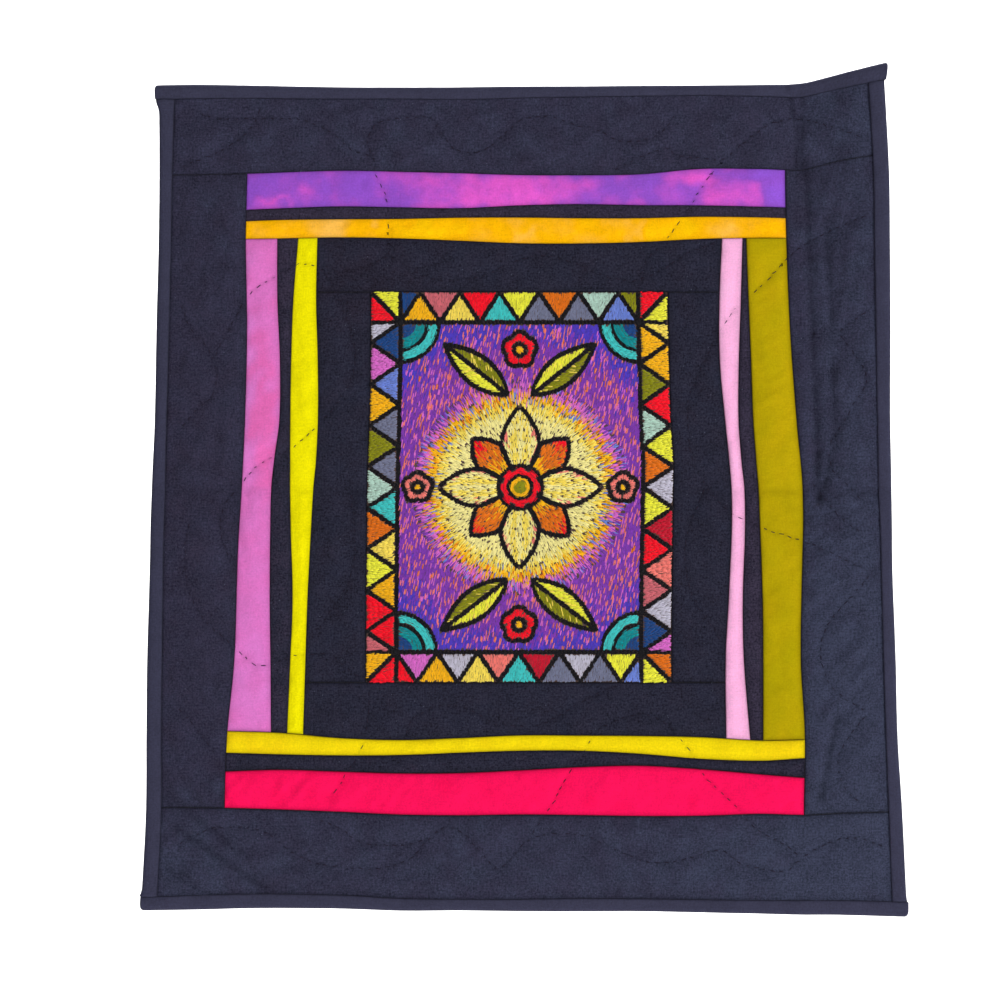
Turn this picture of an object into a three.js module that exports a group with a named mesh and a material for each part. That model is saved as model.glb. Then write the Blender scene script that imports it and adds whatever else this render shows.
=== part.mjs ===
// Quilted wall hanging: a stitched panel framed by uneven strips of bright cloth and wide black borders, pieced on
// a thin padded core, quilted by hand in waves and bound all round. It hangs from its top edge.
// Millimetres. X runs to the right along the top edge, Z up, and the quilted face looks along -Y.
// The origin is the middle of the top edge.
import * as THREE from "three";

// Thickness of the layers, measured from the sheet that the folds bend. Minus is the quilted side.
const coreBack = 1.3;
const coreFront = -0.05;
const topBack = -0.7;
const topFront = -1.5;
const panelFront = -2.2;
const puffHeight = 0.9;
const backPuff = 0.35;
const panelPuff = 0.3;

// Sizes of facets, the share of their sag that the layers allow for, and the gap that a piece keeps to its seam.
const cell = 9;
const coarseCell = 17;
const panelCell = 14;
const sagShare = 0.75;
const seamGap = 0.2;

// The binding is folded over the edge: half its outer and inner thickness, the rounding of its edge, the step at
// its seam, the cloth around its edge, the depth of its slot at a turned-in end, and how far the quilt stops short.
const bindingHalf = 2.8;
const bindingSlot = 1.9;
const bindingRound = 1.1;
const bindingLip = 0.25;
const bindingWeb = 1.6;
const closedSlot = 0.1;
const bindingCell = 16;
const edgeInset = 2.1;
const coveredWidth = 7.5;

// A quilting line pulls the cloth down across this width, and a seam across this one.
const quiltWidth = 9;
const seamWidth = 5;

// The panel lies between these two level seams.
const panelTop = -115.4;
const panelFoot = -334;

// Levels of the outer edges and seams at places across the hanging.
const across = curves(
  ["x", "topEdge", "topSeam", "topBorder", "footBorder", "footSeam", "footEdge"],
  [
    [-204.7, 0.1, -7.7, -50.0, -404.1, -453.7, -460.9],
    [-179.5, 0.4, -7.3, -49.6, -404.1, -453.0, -460.6],
    [-153.2, 0.0, -7.1, -49.0, -404.7, -452.6, -460.2],
    [-101.1, -1.0, -7.5, -47.3, -406.6, -453.1, -460.3],
    [-67.5, -1.1, -7.4, -47.9, -408.1, -454.7, -461.2],
    [-33.9, -1.0, -7.8, -48.7, -408.5, -455.1, -461.0],
    [-0.3, -0.6, -6.9, -49.7, -408.1, -455.3, -461.6],
    [33.3, -0.5, -6.3, -49.8, -408.5, -455.1, -461.9],
    [66.9, -0.2, -5.9, -49.3, -409.0, -455.2, -461.8],
    [100.5, 0.0, -5.5, -46.3, -408.8, -455.4, -462.2],
    [134.1, 0.4, -5.9, -46.3, -407.7, -455.7, -462.8],
    [158.2, 1.2, -6.1, -46.6, -408.4, -455.9, -463.5],
    [168.2, 3.4, -4.1, -44.4, -408.0, -455.9, -463.6],
    [180.6, 6.4, -1.7, -41.7, -407.2, -456.0, -463.8],
    [204.1, 12.1, 2.5, -38.6, -406.5, -456.7, -464.6],
  ],
);

// Places of the side edges, the side seams and the sides of the coloured block, from the foot up.
const sides = curves(
  ["z", "leftEdge", "leftSeam", "blockLeft", "blockRight", "rightSeam", "rightEdge"],
  [
    [-460.9, -212.2, -203.6, -166.0, 159.0, 208.4, 216.8],
    [-406.6, -209.5, -201.0, -165.8, 158.9, 206.0, 213.9],
    [-363.4, -209.2, -201.0, -164.4, 159.4, 204.3, 211.2],
    [-321.4, -208.8, -200.6, -160.4, 157.1, 203.0, 210.2],
    [-265.4, -207.2, -199.8, -158.5, 157.9, 201.6, 208.2],
    [-226.2, -206.1, -199.0, -156.5, 158.6, 200.5, 207.5],
    [-192.6, -204.7, -198.1, -154.6, 155.4, 199.7, 207.1],
    [-136.6, -203.6, -196.6, -153.3, 151.3, 198.5, 206.9],
    [-86.2, -202.4, -195.5, -154.0, 149.2, 197.4, 206.7],
    [-48.7, -202.0, -194.9, -153.2, 148.5, 196.7, 206.6],
    [0.0, -202.2, -193.5, -153.2, 148.5, 193.8, 203.5],
  ],
);

// Places of the upright strips and of the panel, from the foot up.
const uprights = curves(
  ["z", "orchidRight", "lemonLeft", "lemonRight", "panelLeft", "panelRight", "pinkLeft", "pinkRight", "oliveLeft"],
  [
    [-365.1, -139.7, -131.0, -121.8, -86.6, 84.6, 115.1, 128.7, 135.8],
    [-321.4, -140.0, -129.1, -120.4, -86.6, 84.6, 114.8, 125.2, 135.8],
    [-287.8, -140.4, -127.8, -119.3, -86.5, 84.6, 116.5, 124.6, 135.5],
    [-248.6, -140.1, -128.8, -117.3, -86.1, 85.2, 118.2, 125.8, 134.1],
    [-226.2, -139.8, -129.4, -116.2, -86.0, 85.6, 118.3, 125.7, 133.4],
    [-209.4, -138.0, -129.2, -114.5, -85.5, 85.6, 116.8, 123.8, 131.9],
    [-187.0, -135.0, -129.1, -113.4, -84.6, 84.1, 114.5, 122.2, 130.2],
    [-153.4, -134.7, -128.6, -113.5, -83.9, 83.2, 111.5, 122.4, 129.0],
    [-119.8, -136.1, -127.4, -114.4, -83.8, 82.4, 111.3, 123.5, 127.6],
    [-85.1, -136.2, -124.6, -113.7, -83.8, 82.4, 112.8, 124.5, 126.3],
  ],
);

// Levels of the strips that lie across, above and below the panel.
const levels = curves(
  ["x", "purpleFoot", "orangeTop", "orangeFoot", "goldTop", "goldFoot", "crimsonTop"],
  [
    [-165.5, -69.9, -76.1, -85.8, -361.2, -373.5, -383.8],
    [-134.7, -68.6, -74.9, -85.4, -362.2, -374.4, -382.9],
    [-101.1, -67.5, -74.5, -84.8, -365.1, -375.0, -383.9],
    [-67.5, -68.0, -74.3, -85.4, -366.2, -374.8, -384.9],
    [-33.9, -68.5, -73.6, -86.7, -365.1, -373.5, -384.7],
    [-0.3, -66.9, -73.5, -88.1, -363.6, -372.4, -383.2],
    [33.3, -66.2, -73.9, -88.2, -363.7, -372.4, -381.4],
    [66.9, -66.8, -73.9, -87.4, -363.9, -374.1, -380.6],
    [100.5, -66.9, -73.1, -85.7, -364.6, -376.9, -382.5],
    [134.1, -67.6, -73.4, -85.0, -366.5, -378.0, -385.4],
    [159.3, -68.1, -73.9, -85.0, -366.1, -376.6, -387.5],
  ],
);

// Soft folds. Each runs between two points, and plus depth bends the hanging back.
const folds = rowsOf(
  ["name", "x0", "z0", "x1", "z1", "depth", "width"],
  [
    ["trough below the kink", 156, 20, 168, -228, 2.8, 18],
    ["second trough", 173, -90, 177, -205, 0.8, 14],
    ["storage fold", -208, -226, 209, -227, 2.0, 18],
    ["ridge above it", -208, -203, 209, -205, -0.7, 14],
    ["ridge below it", -208, -252, 209, -250, -0.8, 16],
    ["lower left crease", -192, -416, -144, -449, 1.1, 15],
    ["lower right trough", 178, -353, 168, -401, 1.3, 15],
    ["left border swell", -182, -130, -186, -400, -1.0, 22],
    ["right border swell", 186, -240, 192, -420, -1.2, 22],
  ],
);

// The corner beyond the kink stands forward, most at the top, and the foot waves a little.
const flare = { from: 152, reach: 62, depth: -7.5, top: 16, foot: -240 };
const footWave = { depth: 1.3, length: 172, from: -375, to: -462 };

// Quilting lines, each a curve through the points listed as x, z.
const quilting = [
  [-193, -46, -184, -43, -164, -34, -150, -22, -145, -9],
  [-182, -15, -169, -18, -146, -18, -123, -19, -106, -26, -94, -36, -83, -40, -81, -50, -75, -63, -74, -96],
  [-83, -40, -86, -30, -80, -21, -65, -18, -50, -18, -44, -27, -35, -36, -21, -36, -6, -24, 1, -18],
  [1, -18, 16, -17, 32, -22, 42, -24, 57, -31, 73, -29, 80, -25, 89, -13],
  [51, -48, 67, -40, 82, -35, 88, -39, 99, -40, 113, -41, 122, -34, 131, -27, 143, -20, 157, -18, 194, -30],
  [113, -41, 100, -59, 94, -69, 81, -87, 70, -99, 67, -112],
  [-111, -99, -102, -104, -85, -100, -74, -96, -62, -102, -50, -108, -35, -109, -21, -106, -6, -99],
  [-6, -99, 11, -95, 30, -99, 47, -106, 64, -109, 81, -102, 95, -93, 110, -88],
  [-191, -120, -185, -135, -174, -149, -170, -162, -173, -174, -181, -181, -190, -192],
  [-172, -153, -164, -137, -151, -116, -136, -106, -124, -100, -115, -101, -107, -108, -100, -123],
  [-100, -123, -93, -148, -95, -164, -108, -184, -127, -202, -139, -208, -148, -213, -156, -222, -166, -234],
  [-166, -234, -168, -249, -162, -268],
  [-185, -242, -188, -260, -186, -282, -177, -299, -160, -314, -149, -324, -140, -324, -126, -319, -107, -318],
  [-107, -318, -95, -328, -86, -334, -85, -350, -88, -367, -91, -375, -98, -386, -107, -400],
  [-95, -226, -93, -249, -93, -265, -98, -281, -106, -293, -113, -305],
  [-193, -347, -186, -354, -180, -362, -173, -371, -167, -383],
  [-193, -426, -185, -421, -173, -416, -162, -415, -150, -416, -140, -420, -130, -428, -116, -435, -98, -438],
  [-98, -438, -78, -438, -61, -432, -51, -421, -42, -415, -33, -418, -23, -428, -12, -438, 5, -422, 22, -418],
  [22, -418, 39, -421, 56, -429, 73, -435, 92, -433, 112, -428, 123, -435, 138, -439, 149, -439, 157, -432],
  [157, -432, 168, -426, 185, -421, 204, -426],
  [-115, -410, -101, -416, -89, -424, -76, -425, -64, -425, -51, -421],
  [-76, -367, -65, -363, -60, -354, -51, -349, -43, -347, -35, -347, -25, -351, -15, -357, -8, -358, 5, -359],
  [5, -359, 13, -357, 23, -352, 32, -346, 43, -340, 55, -336],
  [5, -421, 19, -400, 28, -383, 36, -372, 42, -362, 57, -354, 71, -352, 80, -356, 89, -365, 96, -374],
  [96, -374, 103, -386, 121, -404, 132, -416, 148, -425, 157, -432],
  [195, -72, 172, -82, 159, -89, 149, -97, 137, -110, 121, -124, 109, -142, 100, -161, 94, -176, 94, -195],
  [94, -195, 96, -209, 104, -224, 118, -239, 137, -248, 158, -255, 173, -261, 185, -267, 197, -272],
  [195, -125, 187, -131, 179, -138, 184, -146, 191, -156, 194, -165, 188, -176, 180, -190, 172, -203],
  [172, -203, 176, -216, 183, -223, 193, -234],
  [163, -221, 170, -230, 178, -240, 186, -247, 193, -251],
  [197, -272, 190, -281, 183, -288, 175, -297, 169, -309, 168, -319, 172, -333, 183, -344, 195, -351],
  [195, -351, 185, -363, 178, -377, 182, -394, 193, -403],
  [104, -224, 97, -240, 93, -251, 92, -265, 94, -278, 99, -291, 107, -302, 114, -313],
].map(pointsOf);

// Cloth colours.
const colours = {
  night: 0x32343f,
  black: 0x2a2832,
  purple: 0x9b4ec8,
  orange: 0xffbe00,
  orchid: 0xd66fca,
  lemon: 0xf5e600,
  pink: 0xffa5e1,
  olive: 0xbba500,
  gold: 0xebd214,
  crimson: 0xff0f55,
  stitches: 0x8a5a9a,
  wadding: 0x26262e,
};

// Gives each column of a table as a smooth curve over its first column.
function curves(names, rows) {
  const at = rows.map((row) => row[0]);
  return Object.fromEntries(names.slice(1).map((name, i) => [name, smooth(at, rows.map((row) => row[i + 1]))]));
}

// Gives each row of a table as an object with named values.
function rowsOf(names, rows) {
  return rows.map((row) => Object.fromEntries(names.map((name, i) => [name, row[i]])));
}

// Splits a flat list of x, z pairs into points.
function pointsOf(list) {
  return Array.from({ length: list.length / 2 }, (_, i) => ({ x: list[2 * i], z: list[2 * i + 1] }));
}

// A cubic curve through the values, with the slope of each point's neighbours, straight beyond its ends.
function smooth(at, values) {
  const last = at.length - 1;
  const slope = at.map((_, i) => {
    const a = Math.max(i - 1, 0);
    const b = Math.min(i + 1, last);
    return (values[b] - values[a]) / (at[b] - at[a]);
  });
  return (t) => {
    if (t <= at[0]) return values[0] + slope[0] * (t - at[0]);
    if (t >= at[last]) return values[last] + slope[last] * (t - at[last]);
    let i = 0;
    while (at[i + 1] < t) i++;
    const span = at[i + 1] - at[i];
    const s = (t - at[i]) / span;
    const ease = s * s * (3 - 2 * s);
    return (
      values[i] * (1 - ease) +
      values[i + 1] * ease +
      span * (slope[i] * s * (1 - s) * (1 - s) - slope[i + 1] * s * s * (1 - s))
    );
  };
}

function distanceToSegment(x, z, a, b) {
  const dx = b.x - a.x;
  const dz = b.z - a.z;
  const t = THREE.MathUtils.clamp(((x - a.x) * dx + (z - a.z) * dz) / (dx * dx + dz * dz), 0, 1);
  return Math.hypot(x - a.x - t * dx, z - a.z - t * dz);
}

// How far the folds bend the sheet back at a place.
function bend(x, z) {
  let y = 0;
  for (const fold of folds) {
    const away = distanceToSegment(x, z, { x: fold.x0, z: fold.z0 }, { x: fold.x1, z: fold.z1 });
    y += fold.depth * Math.exp(-((away / fold.width) ** 2));
  }
  const out = THREE.MathUtils.smoothstep(x, flare.from, flare.from + flare.reach);
  y += flare.depth * out * THREE.MathUtils.smoothstep(z, flare.foot, flare.top);
  const low = 1 - THREE.MathUtils.smoothstep(z, footWave.to, footWave.from);
  return y + footWave.depth * low * Math.sin((2 * Math.PI * x) / footWave.length);
}

// Facets cut across a curved fold. This gives how far coarse facets fall behind a ridge, or rise before a valley,
// so that the layers can keep clear of each other there.
function sag(x, z) {
  const half = coarseCell / 2;
  const here = 2 * bend(x, z);
  const turns = [
    bend(x - half, z) + bend(x + half, z) - here,
    bend(x, z - half) + bend(x, z + half) - here,
    (bend(x - half, z - half) + bend(x + half, z + half) - here) / 2,
    (bend(x - half, z + half) + bend(x + half, z - half) - here) / 2,
  ];
  return {
    ridge: sagShare * Math.max(0, ...turns),
    valley: sagShare * Math.max(0, ...turns.map((turn) => -turn)),
  };
}

// How much of its full height the padding keeps at a place, 0 on a quilting line.
function loft(x, z) {
  let nearest = Infinity;
  for (const line of quilting) {
    for (let i = 1; i < line.length; i++) {
      nearest = Math.min(nearest, distanceToSegment(x, z, line[i - 1], line[i]));
    }
  }
  return 1 - Math.exp(-((nearest / quiltWidth) ** 2));
}

// A place inside four edge curves, for shares u to the right and v upwards.
function placeIn(piece, u, v) {
  let x = THREE.MathUtils.lerp(piece.left(piece.foot(0)), piece.right(piece.foot(0)), u);
  let z = 0;
  for (let turn = 0; turn < 5; turn++) {
    z = THREE.MathUtils.lerp(piece.foot(x), piece.top(x), v);
    x = THREE.MathUtils.lerp(piece.left(z), piece.right(z), u);
  }
  return { x, z };
}

// How far a place is inside the part of the piece that the binding leaves open.
function insideBy(piece, { x, z }) {
  const under = piece.under ?? {};
  return Math.max(
    0,
    Math.min(
      x - piece.left(z) - (under.left ?? 0),
      piece.right(z) - x - (under.right ?? 0),
      piece.top(x) - z - (under.top ?? 0),
      z - piece.foot(x) - (under.foot ?? 0),
    ),
  );
}

// Collects points and triangles, and closes them into a geometry whose faces look outwards.
class Shell {
  constructor() {
    this.points = [];
    this.faces = [];
  }

  add(x, y, z) {
    this.points.push([x, y, z]);
    return this.points.length - 1;
  }

  quad(a, b, c, d) {
    this.faces.push([a, b, c], [a, c, d]);
  }

  // Joins a fine row of points to a row with as many points, or with half as many steps.
  join(fine, coarse) {
    const step = (fine.length - 1) / (coarse.length - 1);
    for (let i = 0; i < coarse.length - 1; i++) {
      const part = fine.slice(i * step, (i + 1) * step + 1);
      this.faces.push([part[0], coarse[i], part[1]], [part[1], coarse[i], coarse[i + 1]]);
      if (step === 2) this.faces.push([part[1], coarse[i + 1], part[2]]);
    }
  }

  geometry() {
    const volume = this.faces.reduce((sum, face) => {
      const [a, b, c] = face.map((i) => new THREE.Vector3(...this.points[i]));
      return sum + a.dot(b.cross(c));
    }, 0);
    const faces = volume < 0 ? this.faces.map(([a, b, c]) => [a, c, b]) : this.faces;
    const geometry = new THREE.BufferGeometry();
    geometry.setAttribute("position", new THREE.Float32BufferAttribute(this.points.flat(), 3));
    geometry.setIndex(faces.flat());
    return geometry;
  }
}

// A layer of cloth between four edge curves. Its front has facets of one size, its back may have larger ones.
function layer(piece, stationsU, stationsV, backStep, front, back) {
  const shell = new Shell();
  const grid = (us, vs, depth) =>
    vs.map((v) =>
      us.map((u) => {
        const place = placeIn(piece, u, v);
        return shell.add(place.x, bend(place.x, place.z) + depth(place), place.z);
      }),
    );
  const every = (list) => list.filter((_, i) => i % backStep === 0);
  const near = grid(stationsU, stationsV, front);
  const far = grid(every(stationsU), every(stationsV), back);
  const skin = (rows, turned) => {
    for (let j = 1; j < rows.length; j++) {
      for (let i = 1; i < rows[0].length; i++) {
        const corners = [rows[j - 1][i - 1], rows[j - 1][i], rows[j][i], rows[j][i - 1]];
        shell.quad(...(turned ? corners.reverse() : corners));
      }
    }
  };
  const rim = (rows) => {
    const last = rows.length - 1;
    const end = rows[0].length - 1;
    return [rows[0], rows.map((row) => row[end]), [...rows[last]].reverse(), rows.map((row) => row[0]).reverse()];
  };
  skin(near, false);
  skin(far, true);
  const farRim = rim(far);
  rim(near).forEach((side, i) => shell.join(side, farRim[i]));
  return shell.geometry();
}

// Even shares from 0 to 1, an even number of them so that a back can skip every other one.
function shares(length, size) {
  const count = 2 * Math.max(1, Math.round(length / size / 2));
  return Array.from({ length: count + 1 }, (_, i) => i / count);
}

// A piece of the quilt top, padded between its seams.
function topPiece(piece, { front = topFront, puff = puffHeight, size = cell, backStep = 2 } = {}) {
  const middle = placeIn(piece, 0.5, 0.5);
  const width = piece.right(middle.z) - piece.left(middle.z);
  const height = piece.top(middle.x) - piece.foot(middle.x);
  const rise = (place) => {
    const open = 1 - Math.exp(-((insideBy(piece, place) / seamWidth) ** 2));
    return front - puff * open * loft(place.x, place.z);
  };
  const behind = ({ x, z }) => topBack - sag(x, z).ridge;
  return layer(piece, shares(width, size), shares(height, size), backStep, rise, behind);
}

// The padded core: wadding with its backing, plain in front where the top covers it, quilted behind.
function core() {
  const piece = {
    left: (z) => sides.leftEdge(z) + edgeInset,
    right: (z) => sides.rightEdge(z) - edgeInset,
    top: (x) => across.topEdge(x) - edgeInset,
    foot: (x) => across.footEdge(x) + edgeInset,
    under: { left: coveredWidth, right: coveredWidth, top: coveredWidth, foot: coveredWidth },
  };
  const width = piece.right(panelTop) - piece.left(panelTop);
  const height = piece.top(0) - piece.foot(0);
  const before = ({ x, z }) => coreFront + sag(x, z).valley;
  const behind = (place) => {
    const open = 1 - Math.exp(-((insideBy(piece, place) / seamWidth) ** 2));
    return coreBack + backPuff * open * loft(place.x, place.z);
  };
  // The columns lie closer to each other on the right, where the border falls in folds.
  const folded = 0.85;
  const columns = [
    ...shares(width * folded, coarseCell).map((u) => u * folded),
    ...shares(width * (1 - folded), cell)
      .slice(1)
      .map((u) => folded + u * (1 - folded)),
  ];
  return layer(piece, columns, shares(height, coarseCell), 1, before, behind);
}

// A binding folded over the edge. The function gives the place at share s along it, and at share a from the seam
// line, 0, to the outer edge, 1. Its ends are turned in where nothing runs on through them.
function binding(placeAt, length, widthAt, turnedIn) {
  const stations = shares(length, bindingCell);
  if (turnedIn) {
    const endWall = bindingWeb / length;
    stations.splice(1, 0, endWall);
    stations.splice(-1, 0, 1 - endWall);
  }
  const shell = new Shell();
  const rings = stations.map((s, i) => {
    const width = widthAt(s);
    const round = 1 - bindingRound / width;
    const closed = turnedIn && (i === 0 || i === stations.length - 1);
    const depth = closed ? closedSlot : 1 - bindingWeb / width;
    const section = [
      [0, -bindingHalf + bindingLip],
      [round, -bindingHalf],
      [1, -bindingHalf + bindingRound],
      [1, bindingHalf - bindingRound],
      [round, bindingHalf],
      [0, bindingHalf - bindingLip],
      [0, bindingSlot],
      [depth, bindingSlot],
      [depth, -bindingSlot],
      [0, -bindingSlot],
    ];
    return section.map(([a, offset]) => {
      const { x, z } = placeAt(s, a);
      const { ridge, valley } = sag(x, z);
      const y = bend(x, z) + offset + (offset < 0 ? -ridge : valley);
      return { id: shell.add(x, y, z), flat: new THREE.Vector2(a * width, offset) };
    });
  });
  for (let i = 1; i < rings.length; i++) {
    rings[i].forEach((point, k) => {
      const next = (k + 1) % rings[i].length;
      shell.quad(rings[i - 1][k].id, rings[i - 1][next].id, rings[i][next].id, point.id);
    });
  }
  [rings[0], rings.at(-1)].forEach((ring, end) => {
    const outline = ring.map((point) => point.flat);
    const turn = Math.sign(THREE.ShapeUtils.area(outline));
    for (const corners of THREE.ShapeUtils.triangulateShape(outline, [])) {
      const sameTurn = Math.sign(THREE.ShapeUtils.area(corners.map((k) => outline[k]))) === turn;
      const face = corners.map((k) => ring[k].id);
      shell.faces.push(sameTurn === (end === 1) ? face : face.reverse());
    }
  });
  return shell.geometry();
}

const hanging = new THREE.Group();

function addMesh(name, geometry, colour, roughness = 0.9) {
  geometry.computeVertexNormals();
  const mesh = new THREE.Mesh(
    geometry,
    new THREE.MeshStandardMaterial({ name, color: colour, roughness, metalness: 0 }),
  );
  mesh.name = name;
  hanging.add(mesh);
}

// Moves an edge curve inwards by the gap that a piece keeps to its seam.
const inFrom = (curve, by) => (t) => curve(t) + by;

function addTopPieces() {
  const pieces = rowsOf(
    ["name", "colour", "left", "right", "top", "foot"],
    [
      ["purple_top", "purple", sides.blockLeft, sides.blockRight, across.topBorder, levels.purpleFoot],
      ["gap_top", "black", sides.blockLeft, sides.blockRight, levels.purpleFoot, levels.orangeTop],
      ["orange_top", "orange", sides.blockLeft, sides.blockRight, levels.orangeTop, levels.orangeFoot],
      ["orchid_left", "orchid", sides.blockLeft, uprights.orchidRight, levels.orangeFoot, levels.goldTop],
      ["gap_left", "black", uprights.orchidRight, uprights.lemonLeft, levels.orangeFoot, levels.goldTop],
      ["lemon_left", "lemon", uprights.lemonLeft, uprights.lemonRight, levels.orangeFoot, levels.goldTop],
      ["pink_right", "pink", uprights.pinkLeft, uprights.pinkRight, levels.orangeFoot, levels.goldTop],
      ["gap_right", "black", uprights.pinkRight, uprights.oliveLeft, levels.orangeFoot, levels.goldTop],
      ["olive_right", "olive", uprights.oliveLeft, sides.blockRight, levels.orangeFoot, levels.goldTop],
      ["gold_foot", "gold", sides.blockLeft, sides.blockRight, levels.goldTop, levels.goldFoot],
      ["gap_foot", "black", sides.blockLeft, sides.blockRight, levels.goldFoot, levels.crimsonTop],
      ["crimson_foot", "crimson", sides.blockLeft, sides.blockRight, levels.crimsonTop, across.footBorder],
      ["inner_top", "black", uprights.lemonRight, uprights.pinkLeft, levels.orangeFoot, () => panelTop],
      ["inner_left", "black", uprights.lemonRight, uprights.panelLeft, () => panelTop, () => panelFoot],
      ["inner_right", "black", uprights.panelRight, uprights.pinkLeft, () => panelTop, () => panelFoot],
      ["inner_foot", "black", uprights.lemonRight, uprights.pinkLeft, () => panelFoot, levels.goldTop],
      ["stitched_panel", "stitches", uprights.panelLeft, uprights.panelRight, () => panelTop, () => panelFoot],
      ["border_top", "night", sides.leftEdge, sides.rightEdge, across.topEdge, across.topBorder],
      ["border_left", "night", sides.leftEdge, sides.blockLeft, across.topBorder, across.footBorder],
      ["border_right", "night", sides.blockRight, sides.rightEdge, across.topBorder, across.footBorder],
      ["border_foot", "night", sides.leftEdge, sides.rightEdge, across.footBorder, across.footEdge],
    ],
  );
  const outer = new Map([
    [sides.leftEdge, "left"],
    [sides.rightEdge, "right"],
    [across.topEdge, "top"],
    [across.footEdge, "foot"],
  ]);
  // The panel is stiff with stitches, and the kink needs borders with facets as fine behind as in front.
  const special = {
    stitched_panel: { front: panelFront, puff: panelPuff, size: panelCell, backStep: 1 },
    border_top: { backStep: 1 },
    border_right: { backStep: 1 },
  };
  for (const { name, colour, ...edges } of pieces) {
    const piece = {};
    for (const [side, curve] of Object.entries(edges)) {
      const inwards = side === "left" || side === "foot" ? 1 : -1;
      piece[side] = inFrom(curve, inwards * (outer.has(curve) ? edgeInset : seamGap));
      if (outer.has(curve)) piece.under = { ...piece.under, [side]: coveredWidth };
    }
    addMesh(name, topPiece(piece, special[name]), colours[colour]);
  }
}

function addBindings() {
  const lerp = THREE.MathUtils.lerp;
  // The top and foot bindings lie over the ends of the side ones, and their own ends stand out a little.
  const ends = rowsOf(
    ["name", "seam", "edge", "leftSeam", "leftEdge", "rightSeam", "rightEdge"],
    [
      ["binding_top", across.topSeam, across.topEdge, -204.2, -204.8, 203.6, 204.7],
      ["binding_foot", across.footSeam, across.footEdge, -212.4, -212.6, 217.0, 217.0],
    ],
  );
  for (const end of ends) {
    const placeAt = (s, a) => {
      const x = lerp(lerp(end.leftSeam, end.leftEdge, a), lerp(end.rightSeam, end.rightEdge, a), s);
      return { x, z: lerp(end.seam(x), end.edge(x), a) };
    };
    const widthAt = (s) => Math.abs(placeAt(s, 1).z - placeAt(s, 0).z);
    addMesh(end.name, binding(placeAt, end.rightSeam - end.leftSeam, widthAt, true), colours.night);
  }
  for (const [name, seam, edge] of [
    ["binding_left", sides.leftSeam, sides.leftEdge],
    ["binding_right", sides.rightSeam, sides.rightEdge],
  ]) {
    const placeAt = (s, a) => {
      let z = 0;
      let x = 0;
      for (let turn = 0; turn < 4; turn++) {
        x = lerp(seam(z), edge(z), a);
        z = lerp(across.footSeam(x) + 2 * seamGap, across.topSeam(x) - 2 * seamGap, s);
      }
      return { x, z };
    };
    const widthAt = (s) => Math.abs(placeAt(s, 1).x - placeAt(s, 0).x);
    addMesh(name, binding(placeAt, placeAt(1, 0).z - placeAt(0, 0).z, widthAt, false), colours.night);
  }
}

addMesh("padded_core", core(), colours.wadding);
addTopPieces();
addBindings();

export default hanging;
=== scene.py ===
"""Dresses the quilted wall hanging: pieced cloth, binding, hand quilting and an embroidered panel.

Lengths in the tables are millimetres in the plan of the hanging: x to the right, z up, from the middle of its top
edge. Heights stand out towards the viewer. Meshes are made in metres.
"""

import functools
import math

import bpy
import numpy as np
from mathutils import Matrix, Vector


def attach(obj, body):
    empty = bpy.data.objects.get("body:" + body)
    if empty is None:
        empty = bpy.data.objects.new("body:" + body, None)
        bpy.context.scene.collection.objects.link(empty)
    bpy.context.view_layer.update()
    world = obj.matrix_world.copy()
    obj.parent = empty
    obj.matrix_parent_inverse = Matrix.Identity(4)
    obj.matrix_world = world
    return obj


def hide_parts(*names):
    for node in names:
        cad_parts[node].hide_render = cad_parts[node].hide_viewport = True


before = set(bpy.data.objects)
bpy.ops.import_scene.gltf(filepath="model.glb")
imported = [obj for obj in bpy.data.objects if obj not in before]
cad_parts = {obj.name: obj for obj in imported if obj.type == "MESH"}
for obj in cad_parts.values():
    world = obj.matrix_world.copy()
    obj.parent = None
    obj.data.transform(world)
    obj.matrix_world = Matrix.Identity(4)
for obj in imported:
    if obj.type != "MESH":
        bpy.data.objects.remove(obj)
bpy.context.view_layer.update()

bl_info = {
    "name": "Quilted wall hanging",
    "version": (1, 0, 0),
    "blender": (4, 5, 0),
    "location": "View3D > Sidebar > Hanging",
    "description": "Makes a bound, hand-quilted hanging with an embroidered panel",
    "category": "Object",
}

MM = 0.001

# Heights of the layers above the sheet that the folds bend, and behind it.
CORE_BACK = 1.3
CORE_BACK_LIMIT = 2.2
CORE_FRONT = 0.05
CLOTH_TOP = 1.5
PANEL_TOP = 1.8

# How far the cloth stays inside a bound edge, and how wide the binding hides it.
EDGE_INSET = 2.1
COVERED = 7.5

# How far a seam and a quilting line press the padding down, and the half width of a quilting line's groove.
SEAM_REACH = 5.0
QUILT_REACH = 9.0
GROOVE_REACH = 2.6

# The padding of the back between its quilting lines, and how much painted shade lies along those lines and how wide it
# reaches.
BACK_LOFT = 0.50
BACK_LINE_SHADE = 0.5
BACK_LINE_SHADE_REACH = 1.8

# How wide the painted shade of a seam is, and how much painted shade a sharp fold gets: folds under this width count
# as sharp.
SEAM_SHADE_REACH = 0.75
SHARP_FOLD = 5
CREASE_SHADE = 0.42
CREASE_SHADE_MOST = 0.6

# The panel lies between these two level seams.
PANEL_HEAD = -115.4
PANEL_FOOT = -334.0


# Curves and tables


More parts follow.
